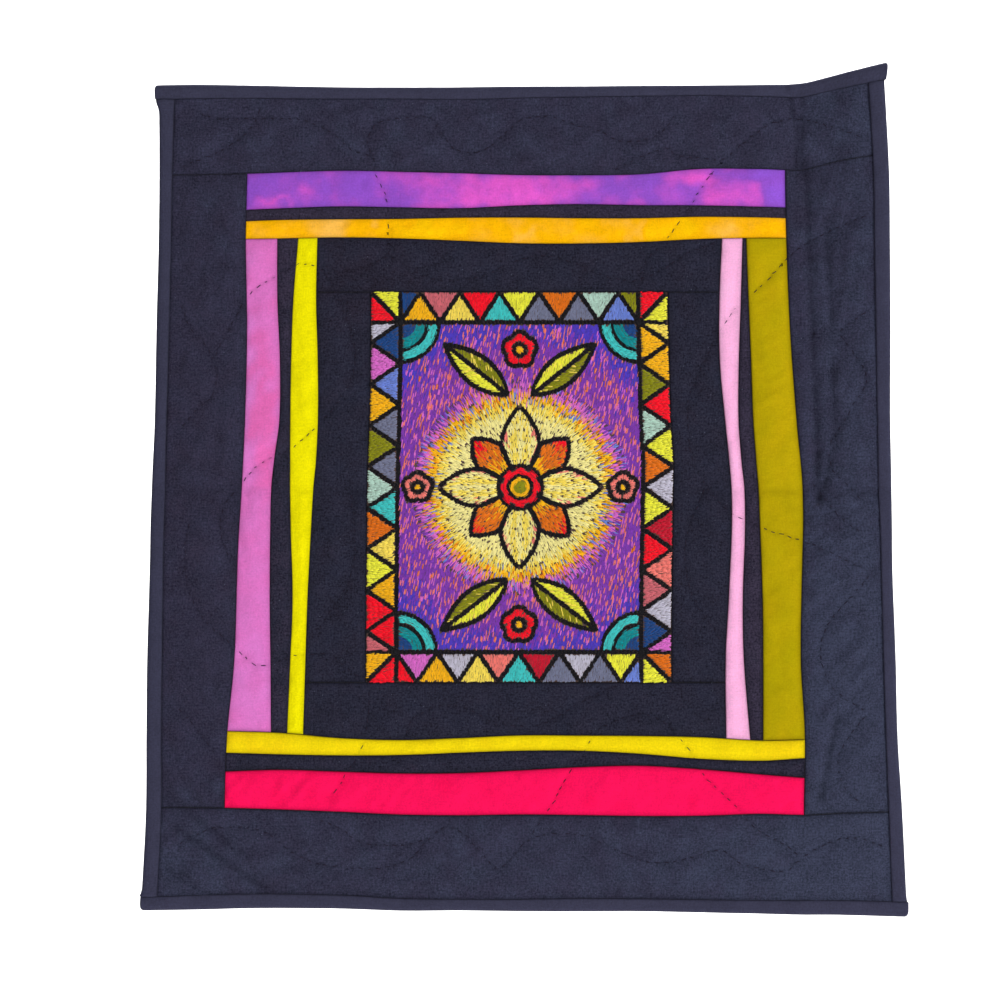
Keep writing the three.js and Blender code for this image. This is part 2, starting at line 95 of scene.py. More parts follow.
def smooth(at, values):
    """A cubic curve through the values, with the slope of each point's neighbours, straight beyond its ends."""
    at, values = np.array(at, float), np.array(values, float)
    order = np.arange(len(at))
    low, high = np.maximum(order - 1, 0), np.minimum(order + 1, len(at) - 1)
    slope = (values[high] - values[low]) / (at[high] - at[low])

    def curve(t):
        t = np.asarray(t, float)
        inner = np.clip(t, at[0], at[-1])
        i = np.clip(np.searchsorted(at, inner, side="right") - 1, 0, len(at) - 2)
        span = at[i + 1] - at[i]
        s = (inner - at[i]) / span
        ease = s * s * (3 - 2 * s)
        bow = slope[i] * s * (1 - s) ** 2 - slope[i + 1] * s * s * (1 - s)
        beyond = np.where(t < at[0], slope[0], slope[-1]) * (t - inner)
        return values[i] * (1 - ease) + values[i + 1] * ease + span * bow + beyond

    return curve


def curves(names, rows):
    """Each column of a table as a smooth curve over its first column."""
    columns = list(zip(*rows))
    return {name: smooth(columns[0], column) for name, column in zip(names[1:], columns[1:])}


def rows_of(names, rows):
    """Each row of a table as a dictionary with named values."""
    return [dict(zip(names, row)) for row in rows]


# Levels of the outer edges and seams at places across the hanging.
ACROSS = curves(
    ("x", "top_edge", "top_seam", "top_border", "foot_border", "foot_seam", "foot_edge"),
    [
        (-204.7, 0.1, -7.7, -50.0, -404.1, -453.7, -460.9),
        (-179.5, 0.4, -7.3, -49.6, -404.1, -453.0, -460.6),
        (-153.2, 0.0, -7.1, -49.0, -404.7, -452.6, -460.2),
        (-101.1, -1.0, -7.5, -47.3, -406.6, -453.1, -460.3),
        (-67.5, -1.1, -7.4, -47.9, -408.1, -454.7, -461.2),
        (-33.9, -1.0, -7.8, -48.7, -408.5, -455.1, -461.0),
        (-0.3, -0.6, -6.9, -49.7, -408.1, -455.3, -461.6),
        (33.3, -0.5, -6.3, -49.8, -408.5, -455.1, -461.9),
        (66.9, -0.2, -5.9, -49.3, -409.0, -455.2, -461.8),
        (100.5, 0.0, -5.5, -46.3, -408.8, -455.4, -462.2),
        (134.1, 0.4, -5.9, -46.3, -407.7, -455.7, -462.8),
        (158.2, 1.6, -5.9, -46.6, -408.4, -455.9, -463.5),
        (168.2, 3.6, -4.0, -44.4, -408.0, -455.9, -463.6),
        (180.6, 6.4, -1.7, -41.7, -407.2, -456.0, -463.8),
        (204.1, 11.7, 2.5, -38.6, -406.5, -456.7, -464.6),
    ],
)

# Places of the side edges, the side seams and the sides of the coloured block, from the foot up.
SIDES = curves(
    ("z", "left_edge", "left_seam", "block_left", "block_right", "right_seam", "right_edge"),
    [
        (-460.9, -212.2, -203.6, -166.0, 159.0, 208.4, 216.8),
        (-406.6, -209.5, -201.0, -165.8, 158.9, 206.0, 213.9),
        (-363.4, -209.2, -201.0, -164.4, 159.4, 204.3, 211.2),
        (-321.4, -208.8, -200.6, -160.4, 157.1, 203.0, 210.2),
        (-265.4, -207.2, -199.8, -158.5, 157.9, 201.6, 208.2),
        (-226.2, -206.5, -199.0, -156.5, 158.6, 200.5, 208.1),
        (-192.6, -204.7, -198.1, -154.6, 155.4, 199.7, 207.1),
        (-136.6, -203.6, -196.6, -153.3, 151.3, 198.5, 206.9),
        (-86.2, -202.4, -195.5, -154.0, 149.2, 197.4, 206.3),
        (-48.7, -202.0, -194.9, -153.2, 148.5, 196.7, 205.6),
        (0.0, -202.2, -193.5, -153.2, 148.5, 193.8, 202.9),
    ],
)

# Places of the upright strips and of the panel, from the foot up.
UPRIGHTS = curves(
    (
        "z", "orchid_right", "lemon_left", "lemon_right", "panel_left",
        "panel_right", "pink_left", "pink_right", "olive_left",
    ),
    [
        (-365.1, -139.7, -131.0, -121.8, -86.6, 84.6, 115.1, 128.7, 135.8),
        (-321.4, -140.0, -129.1, -120.4, -86.6, 84.6, 114.8, 125.2, 135.8),
        (-287.8, -140.4, -127.8, -119.3, -86.5, 84.6, 116.5, 124.6, 135.5),
        (-248.6, -140.1, -128.8, -117.3, -86.1, 85.2, 118.2, 125.8, 134.1),
        (-226.2, -139.8, -129.4, -116.2, -86.0, 85.6, 118.3, 125.7, 133.4),
        (-209.4, -138.0, -129.2, -114.5, -85.5, 85.6, 116.8, 123.8, 131.9),
        (-187.0, -135.0, -129.1, -113.4, -84.6, 84.1, 114.5, 122.2, 130.2),
        (-153.4, -134.7, -128.6, -113.5, -83.9, 83.2, 111.5, 122.4, 129.0),
        (-119.8, -136.1, -127.4, -114.4, -83.8, 82.4, 111.3, 123.5, 127.6),
        (-85.1, -136.2, -124.6, -113.7, -83.8, 82.4, 112.8, 124.5, 126.3),
    ],
)

# Levels of the strips that lie across, above and below the panel.
LEVELS = curves(
    ("x", "purple_foot", "orange_top", "orange_foot", "gold_top", "gold_foot", "crimson_top"),
    [
        (-165.5, -69.9, -76.1, -85.8, -361.2, -373.5, -383.8),
        (-134.7, -68.6, -74.9, -85.4, -362.2, -374.4, -382.9),
        (-101.1, -67.5, -74.5, -84.8, -365.1, -375.0, -383.9),
        (-67.5, -68.0, -74.3, -85.4, -366.2, -374.8, -384.9),
        (-33.9, -68.5, -73.6, -86.7, -365.1, -373.5, -384.7),
        (-0.3, -66.9, -73.5, -88.1, -363.6, -372.4, -383.2),
        (33.3, -66.2, -73.9, -88.2, -363.7, -372.4, -381.4),
        (66.9, -66.8, -73.9, -87.4, -363.9, -374.1, -380.6),
        (100.5, -66.9, -73.1, -85.7, -364.6, -376.9, -382.5),
        (134.1, -67.6, -73.4, -85.0, -366.5, -378.0, -385.4),
        (159.3, -68.1, -73.9, -85.0, -366.1, -376.6, -387.5),
    ],
)

# Soft folds. Each runs between two points, and plus depth bends the hanging back. The narrow ones also get painted
# shade along them.
FOLDS = rows_of(
    ("name", "x0", "z0", "x1", "z1", "depth", "width"),
    [
        ("trough below the kink", 156, 20, 168, -228, 2.6, 18),
        ("second trough", 173, -90, 177, -205, 0.8, 14),
        ("storage fold", -208, -226, 209, -227, 1.7, 21),
        ("ridge above it", -208, -203, 209, -205, -0.7, 14),
        ("ridge below it", -208, -252, 209, -250, -0.8, 16),
        ("lower left crease", -192, -416, -144, -449, 0.8, 15),
        ("lower right trough", 178, -353, 168, -401, 1.1, 15),
        ("left border swell", -182, -130, -186, -400, -1.0, 22),
        ("right border swell", 186, -240, 192, -420, -1.2, 22),
        ("kink line", 149, 1, 155.4, -23, 1.0, 2.4),
        ("kink line, lower", 155.4, -23, 155, -48, 1.0, 2.6),
        ("second kink line", 158, -3, 158, -48, 0.8, 2.2),
        ("trough line", 160.5, -49, 164, -131, 1.0, 3.2),
        ("trough line, lower", 164, -131, 167, -205, 1.2, 3.2),
        ("trough end", 167, -205, 168, -232, 1.5, 3.4),
        ("side line", 171.5, -75, 174.5, -131, 0.9, 3.0),
        ("side line, lower", 174.5, -131, 177, -200, 0.7, 3.0),
        ("side line, turned", 177, -200, 171, -224, 0.7, 2.8),
        ("storage crease", -208, -227, 209, -228, 0.35, 4.5),
        ("lower left line", -192, -416, -144, -449, 0.9, 4.0),
        ("second lower left line", -198, -398, -158, -428, 0.7, 4.5),
        ("third lower left line", -198, -436, -176, -452, 0.6, 4.0),
        ("lower right line", 178, -353, 168, -401, 1.0, 3.4),
    ],
)

# The corner beyond the kink stands forward, most at the top, and the foot waves a little.
FLARE = {"from": 152, "reach": 62, "depth": -7.5, "top": 16, "foot": -240}
FOOT_WAVE = {"depth": 1.3, "length": 172, "from": -375, "to": -462}

# Patches of ripples in the cloth: the way they run in degrees, from one to the next, and how high.
RIPPLES = rows_of(
    ("name", "x", "z", "reach_x", "reach_z", "angle", "spacing", "height"),
    [
        ("left border, low", -181, -372, 24, 52, -48, 9.5, 0.34),
        ("lower left corner", -180, -430, 26, 24, -38, 9.0, 0.34),
        ("foot border, left", -95, -433, 70, 22, 8, 11.0, 0.24),
        ("foot border, right", 75, -433, 90, 22, -6, 12.0, 0.24),
        ("right border, middle", 182, -247, 26, 34, 18, 8.5, 0.38),
        ("right border, low", 183, -330, 24, 52, 52, 10.0, 0.30),
        ("right border, high", 186, -120, 22, 70, 80, 9.0, 0.24),
        ("left border, high", -176, -170, 22, 90, 70, 11.0, 0.20),
        ("top border", -40, -28, 160, 20, 14, 12.0, 0.20),
        ("crimson strip", -120, -395, 60, 12, 60, 7.5, 0.14),
        ("olive strip", 146, -150, 14, 90, 12, 8.0, 0.12),
        ("inner frame", 0, -224, 118, 140, 30, 12.0, 0.14),
    ],
)

# Quilting lines, each a curve through the points listed as x, z.
QUILTING = [
    [-193, -46, -184, -43, -164, -34, -150, -22, -145, -9],
    [-182, -15, -169, -18, -146, -18, -123, -19, -106, -26, -94, -36, -83, -40, -81, -50, -75, -63, -74, -96],
    [-83, -40, -86, -30, -80, -21, -65, -18, -50, -18, -44, -27, -35, -36, -21, -36, -6, -24, 1, -18],
    [1, -18, 16, -17, 32, -22, 42, -24, 57, -31, 73, -29, 80, -25, 89, -13],
    [51, -48, 67, -40, 82, -35, 88, -39, 99, -40, 113, -41, 122, -34, 131, -27, 143, -20, 157, -18, 194, -30],
    [113, -41, 100, -59, 94, -69, 81, -87, 70, -99, 67, -112],
    [-111, -99, -102, -104, -85, -100, -74, -96, -62, -102, -50, -108, -35, -109, -21, -106, -6, -99],
    [-6, -99, 11, -95, 30, -99, 47, -106, 64, -109, 81, -102, 95, -93, 110, -88],
    [-191, -120, -185, -135, -174, -149, -170, -162, -173, -174, -181, -181, -190, -192],
    [-172, -153, -164, -137, -151, -116, -136, -106, -124, -100, -115, -101, -107, -108, -100, -123],
    [-100, -123, -93, -148, -95, -164, -108, -184, -127, -202, -139, -208, -148, -213, -156, -222, -166, -234],
    [-166, -234, -168, -249, -162, -268],
    [-185, -242, -188, -260, -186, -282, -177, -299, -160, -314, -149, -324, -140, -324, -126, -319, -107, -318],
    [-107, -318, -95, -328, -86, -334, -85, -350, -88, -367, -91, -375, -98, -386, -107, -400],
    [-95, -226, -93, -249, -93, -265, -98, -281, -106, -293, -113, -305],
    [-193, -347, -186, -354, -180, -362, -173, -371, -170, -377],
    [-193, -426, -185, -421, -173, -416, -162, -415, -150, -416, -140, -420, -130, -428, -116, -435, -98, -438],
    [-98, -438, -78, -438, -61, -432, -51, -421, -42, -415, -33, -418, -23, -428, -12, -438, 5, -422, 22, -418],
    [22, -418, 39, -421, 56, -429, 73, -435, 92, -433, 112, -428, 123, -435, 138, -439, 149, -439, 157, -432],
    [157, -432, 168, -426, 185, -421, 204, -426],
    [-115, -410, -101, -416, -89, -424, -76, -425, -64, -425, -51, -421],
    [-76, -367, -65, -363, -60, -354, -51, -349, -43, -347, -35, -347, -25, -351, -15, -357, -8, -358, 5, -359],
    [5, -359, 13, -357, 23, -352, 32, -346, 43, -340, 55, -336],
    [5, -421, 19, -400, 28, -383, 36, -372, 42, -362, 57, -354, 71, -352, 80, -356, 89, -365, 96, -374],
    [96, -374, 103, -386, 121, -404, 132, -416, 148, -425, 157, -432],
    [195, -72, 172, -82, 159, -89, 149, -97, 137, -110, 121, -124, 109, -142, 100, -161, 94, -176, 94, -195],
    [94, -195, 96, -209, 104, -224, 118, -239, 137, -248, 158, -255, 173, -261, 185, -267, 197, -272],
    [195, -125, 187, -131, 179, -138, 184, -146, 191, -156, 194, -165, 188, -176, 180, -190, 172, -203],
    [172, -203, 176, -216, 183, -223, 193, -234],
    [163, -221, 170, -230, 178, -240, 186, -247, 193, -251],
    [197, -272, 190, -281, 183, -288, 175, -297, 169, -309, 168, -319, 172, -333, 183, -344, 195, -351],
    [195, -351, 185, -363, 178, -377, 182, -394, 193, -403],
    [104, -224, 97, -240, 93, -251, 92, -265, 94, -278, 99, -291, 107, -302, 114, -313],
]


# The bent sheet and its relief


def along_segment(x, z, ax, az, bx, bz):
    """The distance from points to a segment, and the share along it of the nearest place."""
    dx, dz = bx - ax, bz - az
    share = np.clip(((x - ax) * dx + (z - az) * dz) / (dx * dx + dz * dz), 0, 1)
    return np.hypot(x - ax - share * dx, z - az - share * dz), share


def step(low, high, t):
    """A smooth step from 0 at low to 1 at high."""
    s = np.clip((t - low) / (high - low), 0, 1)
    return s * s * (3 - 2 * s)


def bell(away, reach):
    """A soft bump that is 1 where away is 0 and fades over the reach."""
    return np.exp(-((away / reach) ** 2))


def bend(x, z):
    """How far the folds bend the sheet back at places."""
    y = np.zeros(np.broadcast(x, z).shape)
    for fold in FOLDS:
        away, _ = along_segment(x, z, fold["x0"], fold["z0"], fold["x1"], fold["z1"])
        y += fold["depth"] * bell(away, fold["width"])
    out = step(FLARE["from"], FLARE["from"] + FLARE["reach"], x)
    y += FLARE["depth"] * out * step(FLARE["foot"], FLARE["top"], z)
    low = 1 - step(FOOT_WAVE["to"], FOOT_WAVE["from"], z)
    return y + FOOT_WAVE["depth"] * low * np.sin(2 * np.pi * x / FOOT_WAVE["length"])


def crease(x, z):
    """How much painted shade lies in the sharp folds at places, from 0 to 1."""
    dark = np.zeros(np.broadcast(x, z).shape)
    for fold in FOLDS:
        if fold["width"] < SHARP_FOLD:
            away, _ = along_segment(x, z, fold["x0"], fold["z0"], fold["x1"], fold["z1"])
            dark = np.maximum(dark, CREASE_SHADE * fold["depth"] * bell(away, 0.5 * fold["width"] + 0.2))
    return np.minimum(dark, CREASE_SHADE_MOST)


class Line:
    """A smooth line through points, with its length and its direction at any place."""

    def __init__(self, points, fine=1.0):
        points = np.array(points, float)
        knots = np.concatenate([[0], np.cumsum(np.hypot(*np.diff(points, axis=0).T))])
        at = np.linspace(0, knots[-1], max(2, int(knots[-1] / fine)) + 1)
        self.points = np.stack([smooth(knots, points[:, 0])(at), smooth(knots, points[:, 1])(at)], 1)
        steps = np.hypot(*np.diff(self.points, axis=0).T)
        self.at = np.concatenate([[0], np.cumsum(steps)])
        self.length = self.at[-1]

    def place(self, s):
        """The places at distances along the line."""
        return np.stack([np.interp(s, self.at, self.points[:, k]) for k in (0, 1)], 1)

    def angle(self, s):
        """The way that the line runs at distances along it."""
        ahead, behind = self.place(s + 0.5), self.place(s - 0.5)
        return np.arctan2(ahead[:, 1] - behind[:, 1], ahead[:, 0] - behind[:, 0])


class Raster:
    """Values on a fine grid over the plan, read between its points."""

    def __init__(self, left, right, foot, head, pitch):
        self.pitch, self.left, self.foot = pitch, left, foot
        self.x, self.z = np.meshgrid(np.arange(left, right, pitch), np.arange(foot, head, pitch))

    def window(self, x, z, reach):
        """The rows and columns within reach of a place."""
        column, row = (x - self.left) / self.pitch, (z - self.foot) / self.pitch
        far = reach / self.pitch
        rows = slice(max(0, int(row - far)), max(0, int(row + far) + 2))
        columns = slice(max(0, int(column - far)), max(0, int(column + far) + 2))
        return rows, columns

    def read(self, values, x, z):
        """The values at places, between the points of the grid."""
        column = np.clip((x - self.left) / self.pitch, 0, values.shape[1] - 1.001)
        row = np.clip((z - self.foot) / self.pitch, 0, values.shape[0] - 1.001)
        i, j = column.astype(int), row.astype(int)
        u, v = column - i, row - j
        low = values[j, i] * (1 - u) + values[j, i + 1] * u
        high = values[j + 1, i] * (1 - u) + values[j + 1, i + 1] * u
        return low * (1 - v) + high * v

    def from_lines(self, lines, reach):
        """The distance to the nearest line, up to reach, and how far along that line its place is."""
        nearest, along = np.full(self.x.shape, float(reach)), np.zeros(self.x.shape)
        for line in lines:
            for a, b, start in zip(line.points[:-1], line.points[1:], line.at):
                here = self.window(*(a + b) / 2, reach + math.dist(a, b) / 2)
                away, share = along_segment(self.x[here], self.z[here], *a, *b)
                closer = away < nearest[here]
                nearest[here] = np.where(closer, away, nearest[here])
                along[here] = np.where(closer, start + share * math.dist(a, b), along[here])
        return nearest, along


def waves(seed, x, z, spacing, angle=None, spread=math.pi, count=22):
    """Uneven waves with about the given spacing, in all directions or across the given angle."""
    rng = np.random.default_rng(seed)
    total = np.zeros(x.shape)
    for _ in range(count):
        turn = (angle or 0) + math.pi / 2 + rng.uniform(-spread, spread)
        k = 2 * math.pi / (spacing * rng.uniform(0.7, 1.5))
        phase = rng.uniform(0, 2 * math.pi)
        total += np.sin(k * (x * math.cos(turn) + z * math.sin(turn)) + phase)
    return total / math.sqrt(count / 2)


# The cloth's small relief, in heights and spacings: puckers along the quilting lines, waves, the groove of a line
# and the pits at the ends of its stitches.
PUCKER = {"height": 0.13, "reach": 4.5, "flat": 0.9, "spacing": 4.9, "uneven": 1.4}
CLOTH_WAVES = {"close": (6, 5.5, 0.09), "middle": (9, 10, 0.12), "wide": (7, 21, 0.16)}
GROOVE_DEPTH = 0.20
# How uneven the hand stitches are: along the line, aside of it, how much they turn, and their share of the length.
HAND = {"along": 0.6, "aside": 0.16, "turn": 0.17, "length": (0.55, 1.3)}
# A pit: its depth and radius, how far the painted shade round it reaches, and how far round a place to look.
PIT = {"depth": 0.26, "radius": 1.2, "shade_radius": 1.0, "window": 2.4}
PLAN_BOX = (-216, 221, -469, 17)
PLAN_PITCH = 0.75


class Quilting:
    """The quilting lines, their running stitches, the relief that they pull into the cloth and the painted shade in
    their pits.
    """

    def __init__(self, sizes):
        rng = np.random.default_rng(41)
        self.lines = [Line(np.array(points).reshape(-1, 2)) for points in QUILTING]
        pitch = sizes.stitch_pitch / MM
        places, angles, lengths = [], [], []
        for line in self.lines:
            at = np.arange(pitch * 0.8, line.length - 1.6, pitch)
            at = at + rng.uniform(-HAND["along"], HAND["along"], len(at))
            places.append(line.place(at) + rng.normal(0, HAND["aside"], (len(at), 2)))
            angles.append(line.angle(at) + rng.normal(0, HAND["turn"], len(at)))
            lengths.append(sizes.stitch_length / MM * rng.uniform(*HAND["length"], len(at)))
        self.places = np.concatenate(places)
        self.angles = np.concatenate(angles)
        self.lengths = np.concatenate(lengths)
        self.raster = Raster(*PLAN_BOX, PLAN_PITCH)
        self.nearest, self.along = self.raster.from_lines(self.lines, 24)
        self.loft = 1 - bell(self.nearest, QUILT_REACH)
        self.groove = bell(self.nearest, GROOVE_REACH)
        self.fine = self.small_waves() - GROOVE_DEPTH * self.groove
        # Painted shade round the pits where the stitches go in.
        self.pit_shade = np.zeros(self.fine.shape)
        for place, angle, length in zip(self.places, self.angles, self.lengths):
            for end in (-0.55, 0.55):
                self.press(*(place + end * length * np.array([math.cos(angle), math.sin(angle)])))
        self.pit_shade = np.minimum(self.pit_shade, 1)

    def small_waves(self):
        """Puckers along the lines, waves all over and patches of ripples."""
        x, z = self.raster.x, self.raster.z
        pucker = np.exp(-self.nearest / PUCKER["reach"]) * (1 - bell(self.nearest, PUCKER["flat"]))
        phase = 2 * np.pi * self.along / PUCKER["spacing"] + PUCKER["uneven"] * waves(5, x, z, 14)
        fine = PUCKER["height"] * pucker * np.sin(phase)
        for name, (seed, spacing, height) in CLOTH_WAVES.items():
            away_from_lines = step(0, 3, self.nearest) if name == "close" else 1
            fine += height * waves(seed, x, z, spacing) * away_from_lines
        for i, patch in enumerate(RIPPLES):
            inside = np.exp(-(((x - patch["x"]) / patch["reach_x"]) ** 4) - ((z - patch["z"]) / patch["reach_z"]) ** 4)
            ripple = waves(20 + i, x, z, patch["spacing"], math.radians(patch["angle"]), 0.35, 12)
            fine += 1.3 * patch["height"] * inside * ripple * (0.35 + 0.65 * self.loft)
        return fine

    def press(self, x, z):
        """Presses a pit into the cloth where a stitch goes in, and paints shade round it."""
        here = self.raster.window(x, z, PIT["window"])
        away = np.hypot(self.raster.x[here] - x, self.raster.z[here] - z)
        self.fine[here] -= PIT["depth"] * bell(away, PIT["radius"])
        self.pit_shade[here] += bell(away, PIT["shade_radius"])

    def read(self, name, x, z):
        """One of the rasters at places."""
        return self.raster.read(getattr(self, name), x, z)


# Meshes


def deselect():
    """Leaves nothing selected and nothing active."""
    bpy.ops.object.select_all(action="DESELECT")
    bpy.context.view_layer.objects.active = None


def make_mesh(name, points, faces, material, uv=None, attributes=None):
    """Makes a piece from points in millimetres and faces, with its grain map and point attributes."""
    mesh = bpy.data.meshes.new(name)
    mesh.from_pydata((np.asarray(points) * MM).tolist(), [], np.asarray(faces).tolist())
    mesh.update()
    if uv is not None:
        loops = np.zeros(len(mesh.loops), np.int32)
        mesh.loops.foreach_get("vertex_index", loops)
        mesh.uv_layers.new(name="grain")
        mesh.uv_layers["grain"].data.foreach_set("uv", (np.asarray(uv)[loops] * MM).astype(np.float32).ravel())
    for key, values in (attributes or {}).items():
        layer = mesh.attributes.new(key, "FLOAT", "POINT")
        layer.data.foreach_set("value", np.asarray(values, np.float32).ravel())
    mesh.materials.append(material)
    mesh.shade_smooth()
    piece = bpy.data.objects.new(name, mesh)
    bpy.context.scene.collection.objects.link(piece)
    return piece


def fit(piece, slot, *nodes):
    """Makes a piece ride on the hanging and stand for CAD nodes, which it hides. The slot is not used."""
    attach(piece, "root")
    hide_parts(*nodes)
    return piece


def grid_faces(rows, columns, closed=False):
    """Faces between rows of points. Closed joins the last column to the first."""
    j, i = np.meshgrid(np.arange(rows - 1), np.arange(columns if closed else columns - 1), indexing="ij")
    a = (j * columns + i).ravel()
    b = (j * columns + (i + 1) % columns).ravel()
    return np.stack([a, b, b + columns, a + columns], 1)


def grid_rim(rows, columns):
    """The points round the edge of a grid, in order."""
    at = np.arange(rows * columns).reshape(rows, columns)
    return np.concatenate([at[0], at[1:, -1], at[-1, -2::-1], at[-2:0:-1, 0]])


# The turned edge of a sewn piece: from the end of its allowance, under the cloth, round the fold and up.
LAP_DROP = 0.7
LAP = [(3.4, LAP_DROP), (1.8, LAP_DROP), (0.5, LAP_DROP)]
ROLL = [(0.07, 0.52), (0.12, 0.30), (0.28, 0.13), (0.65, 0.03)]
MARGIN = 1.2
# Pieces narrower than this have smaller allowances.
FULL_LAP = 8.2


def stations(length, cell, sewn_low, sewn_high):
    """Rows across a piece: each has its share of the width, its inset, its drop and its inset when laid flat."""
    count = max(3, round((length - 2 * MARGIN) / cell))
    shares = np.linspace(0, 1, count + 1)
    low, high = MARGIN * sewn_low, MARGIN * sewn_high
    middle = [(s, low * (1 - s) - high * s, 0.0, low * (1 - s) - high * s) for s in shares]
    head = [(0.0, inset, drop, -inset - LAP_DROP) for inset, drop in LAP] if sewn_low else []
    head += [(0.0, inset, drop, inset) for inset, drop in ROLL] if sewn_low else []
    tail = [(1.0, -inset, drop, -inset) for inset, drop in reversed(ROLL)] if sewn_high else []
    tail += [(1.0, -inset, drop, inset + LAP_DROP) for inset, drop in reversed(LAP)] if sewn_high else []
    return np.array(head + middle + tail).T


class Patch:
    """A piece of cloth between four curves, its grid of points and how far each is inside its seams."""

    def __init__(self, left, right, foot, head, cell, free):
        sewn = {side: side not in free for side in ("left", "right", "foot", "head")}
        centre_x = float((left(0) + right(0)) / 2)
        centre_z = float((foot(centre_x) + head(centre_x)) / 2)
        width = float(right(centre_z) - left(centre_z))
        height = float(head(centre_x) - foot(centre_x))
        us = stations(width, cell, sewn["left"], sewn["right"])
        vs = stations(height, cell, sewn["foot"], sewn["head"])
        share_u, inset_u, drop_u, flat_u = (row[None, :] for row in us)
        share_v, inset_v, drop_v, flat_v = (row[:, None] for row in vs)
        x = centre_x + 0 * share_u * share_v
        z = centre_z + 0 * x
        # Each pass brings the level lines and the upright lines closer to where they cross.
        for _ in range(6):
            wide = right(z) - left(z)
            tall = head(x) - foot(x)
            narrow_u, narrow_v = np.minimum(1, wide / FULL_LAP), np.minimum(1, tall / FULL_LAP)
            x = left(z) + share_u * wide + inset_u * narrow_u
            z = foot(x) + share_v * tall + inset_v * narrow_v
        self.x, self.z = x, z
        self.shape = x.shape
        self.flat = np.stack([
            left(z) + share_u * wide + flat_u * narrow_u,
            foot(x) + share_v * tall + flat_v * narrow_v,
        ], -1)
        self.drop = drop_u + drop_v
        self.shown = (drop_u < LAP_DROP - 0.01) & (drop_v < LAP_DROP - 0.01)
        from_sides = {"left": x - left(z), "right": right(z) - x, "foot": z - foot(x), "head": head(x) - z}
        far = np.full(x.shape, 99.0)
        nearest = far
        for side, away in from_sides.items():
            nearest = np.minimum(nearest, away if sewn[side] else away - COVERED)
        self.open = np.maximum(0, nearest)
        self.from_seams = {side: np.maximum(0, away) if sewn[side] else far for side, away in from_sides.items()}

    def flat_size(self):
        """The width, the length and the area of the cut."""
        x, z = self.flat[..., 0], self.flat[..., 1]
        dx_u, dz_u = np.diff(x, axis=1)[:-1], np.diff(z, axis=1)[:-1]
        dx_v, dz_v = np.diff(x, axis=0)[:, :-1], np.diff(z, axis=0)[:, :-1]
        area = float(np.abs(dx_u * dz_v - dz_u * dx_v).sum())
        width, length = float(np.ptp(x)), float(np.ptp(z))
        return (width * MM, length * MM), min(area, width * length) * MM * MM

    def build(self, name, height, material, attributes):
        """Makes the piece at a height over the bent sheet."""
        points = np.stack([self.x, bend(self.x, self.z) - height, self.z], -1).reshape(-1, 3)
        return make_mesh(name, points, grid_faces(*self.shape), material, self.flat.reshape(-1, 2), attributes)


# Dye in the cloths: soft patches where a cloth turns to its second colour, minus towards its third. The border's paler
# patches are painted sheen, strongest to the right and at the foot.
DYE_AND_PAINTED_SHEEN = rows_of(
    ("cloth", "x", "z", "reach_x", "reach_z", "amount"),
    [
        ("purple", -131, -64, 5, 4, 0.5),
        ("purple", -115, -57, 6, 6, 0.4),
        ("purple", -142, -66, 7, 3, 0.5),
        ("purple", -60, -53, 22, 9, 0.35),
        ("purple", -20, -60, 42, 14, 0.5),
        ("purple", -14, -62, 22, 10, 0.4),
        ("purple", 16, -60, 27, 12, 0.5),
        ("purple", 64, -65, 9, 4, 0.4),
        ("purple", 94, -51, 16, 5, 0.8),
        ("purple", 116, -61, 23, 11, 0.62),
        ("purple", 132, -49, 8, 4, -0.7),
        ("purple", 145, -57, 9, 18, -0.9),
        ("purple", 68, -56, 18, 10, -0.08),
        ("purple", -84, -56, 20, 12, -0.2),
        ("orange", -106, -80, 10, 12, 0.95),
        ("orange", -79, -76, 5, 3, 0.6),
        ("orange", -64, -78, 4, 3, 0.5),
        ("orange", 2, -84, 5, 5, 0.6),
        ("orange", 65, -81, 5, 6, 0.7),
        ("orange", 117, -80, 6, 7, 0.6),
        ("orange", -56, -80, 22, 10, -0.8),
        ("orange", 84, -80, 18, 9, -0.7),
        ("gold", 150, -370, 26, 12, 0.6),
        ("gold", -156, -368, 24, 12, 0.6),
        ("olive", 140, -330, 22, 26, -0.5),
        ("olive", 152, -190, 12, 30, 0.4),
        ("olive", 146, -110, 14, 16, 0.3),
        ("orchid", -143, -190, 7, 48, 0.9),
        ("orchid", -156, -150, 5, 70, -0.9),
        ("orchid", -150, -330, 16, 40, -0.5),
        # Painted sheen on the border, strongest to the right and at the foot.
        ("border", 186, -340, 40, 130, 1.0),
        ("border", 190, -120, 34, 110, 0.5),
        ("border", 150, -436, 80, 34, 0.7),
        ("border", -20, -436, 150, 34, 0.35),
        ("border", -190, -440, 34, 40, 0.5),
        ("border", -60, -24, 170, 30, 0.1),
        ("border", -186, -235, 34, 150, -0.35),
        ("border", 182, -14, 34, 26, 0.45),
        ("inner", -90, -110, 40, 30, -0.5),
        ("gap", 0, -379, 260, 14, 1.0),
        ("gap", -133, -260, 16, 140, 0.7),
    ],
)


def dye_and_painted_sheen(cloth, seed, x, z, spacing, uneven):
    """The share of the second colour, from 1, or of the third, from -1, at places of a cloth."""
    # The patches have wavy edges.
    warp_x = x + 2.5 * waves(seed, x, z, 16)
    warp_z = z + 1.5 * waves(seed + 1, x, z, 12)
    total = uneven * waves(seed + 2, x, z, spacing)
    for patch in DYE_AND_PAINTED_SHEEN:
        if patch["cloth"] == cloth:
            away = ((warp_x - patch["x"]) / patch["reach_x"]) ** 2
            away += ((warp_z - patch["z"]) / patch["reach_z"]) ** 2
            total += patch["amount"] * np.exp(-(away ** 1.4))
    return np.clip(total, -1, 1)


# Materials


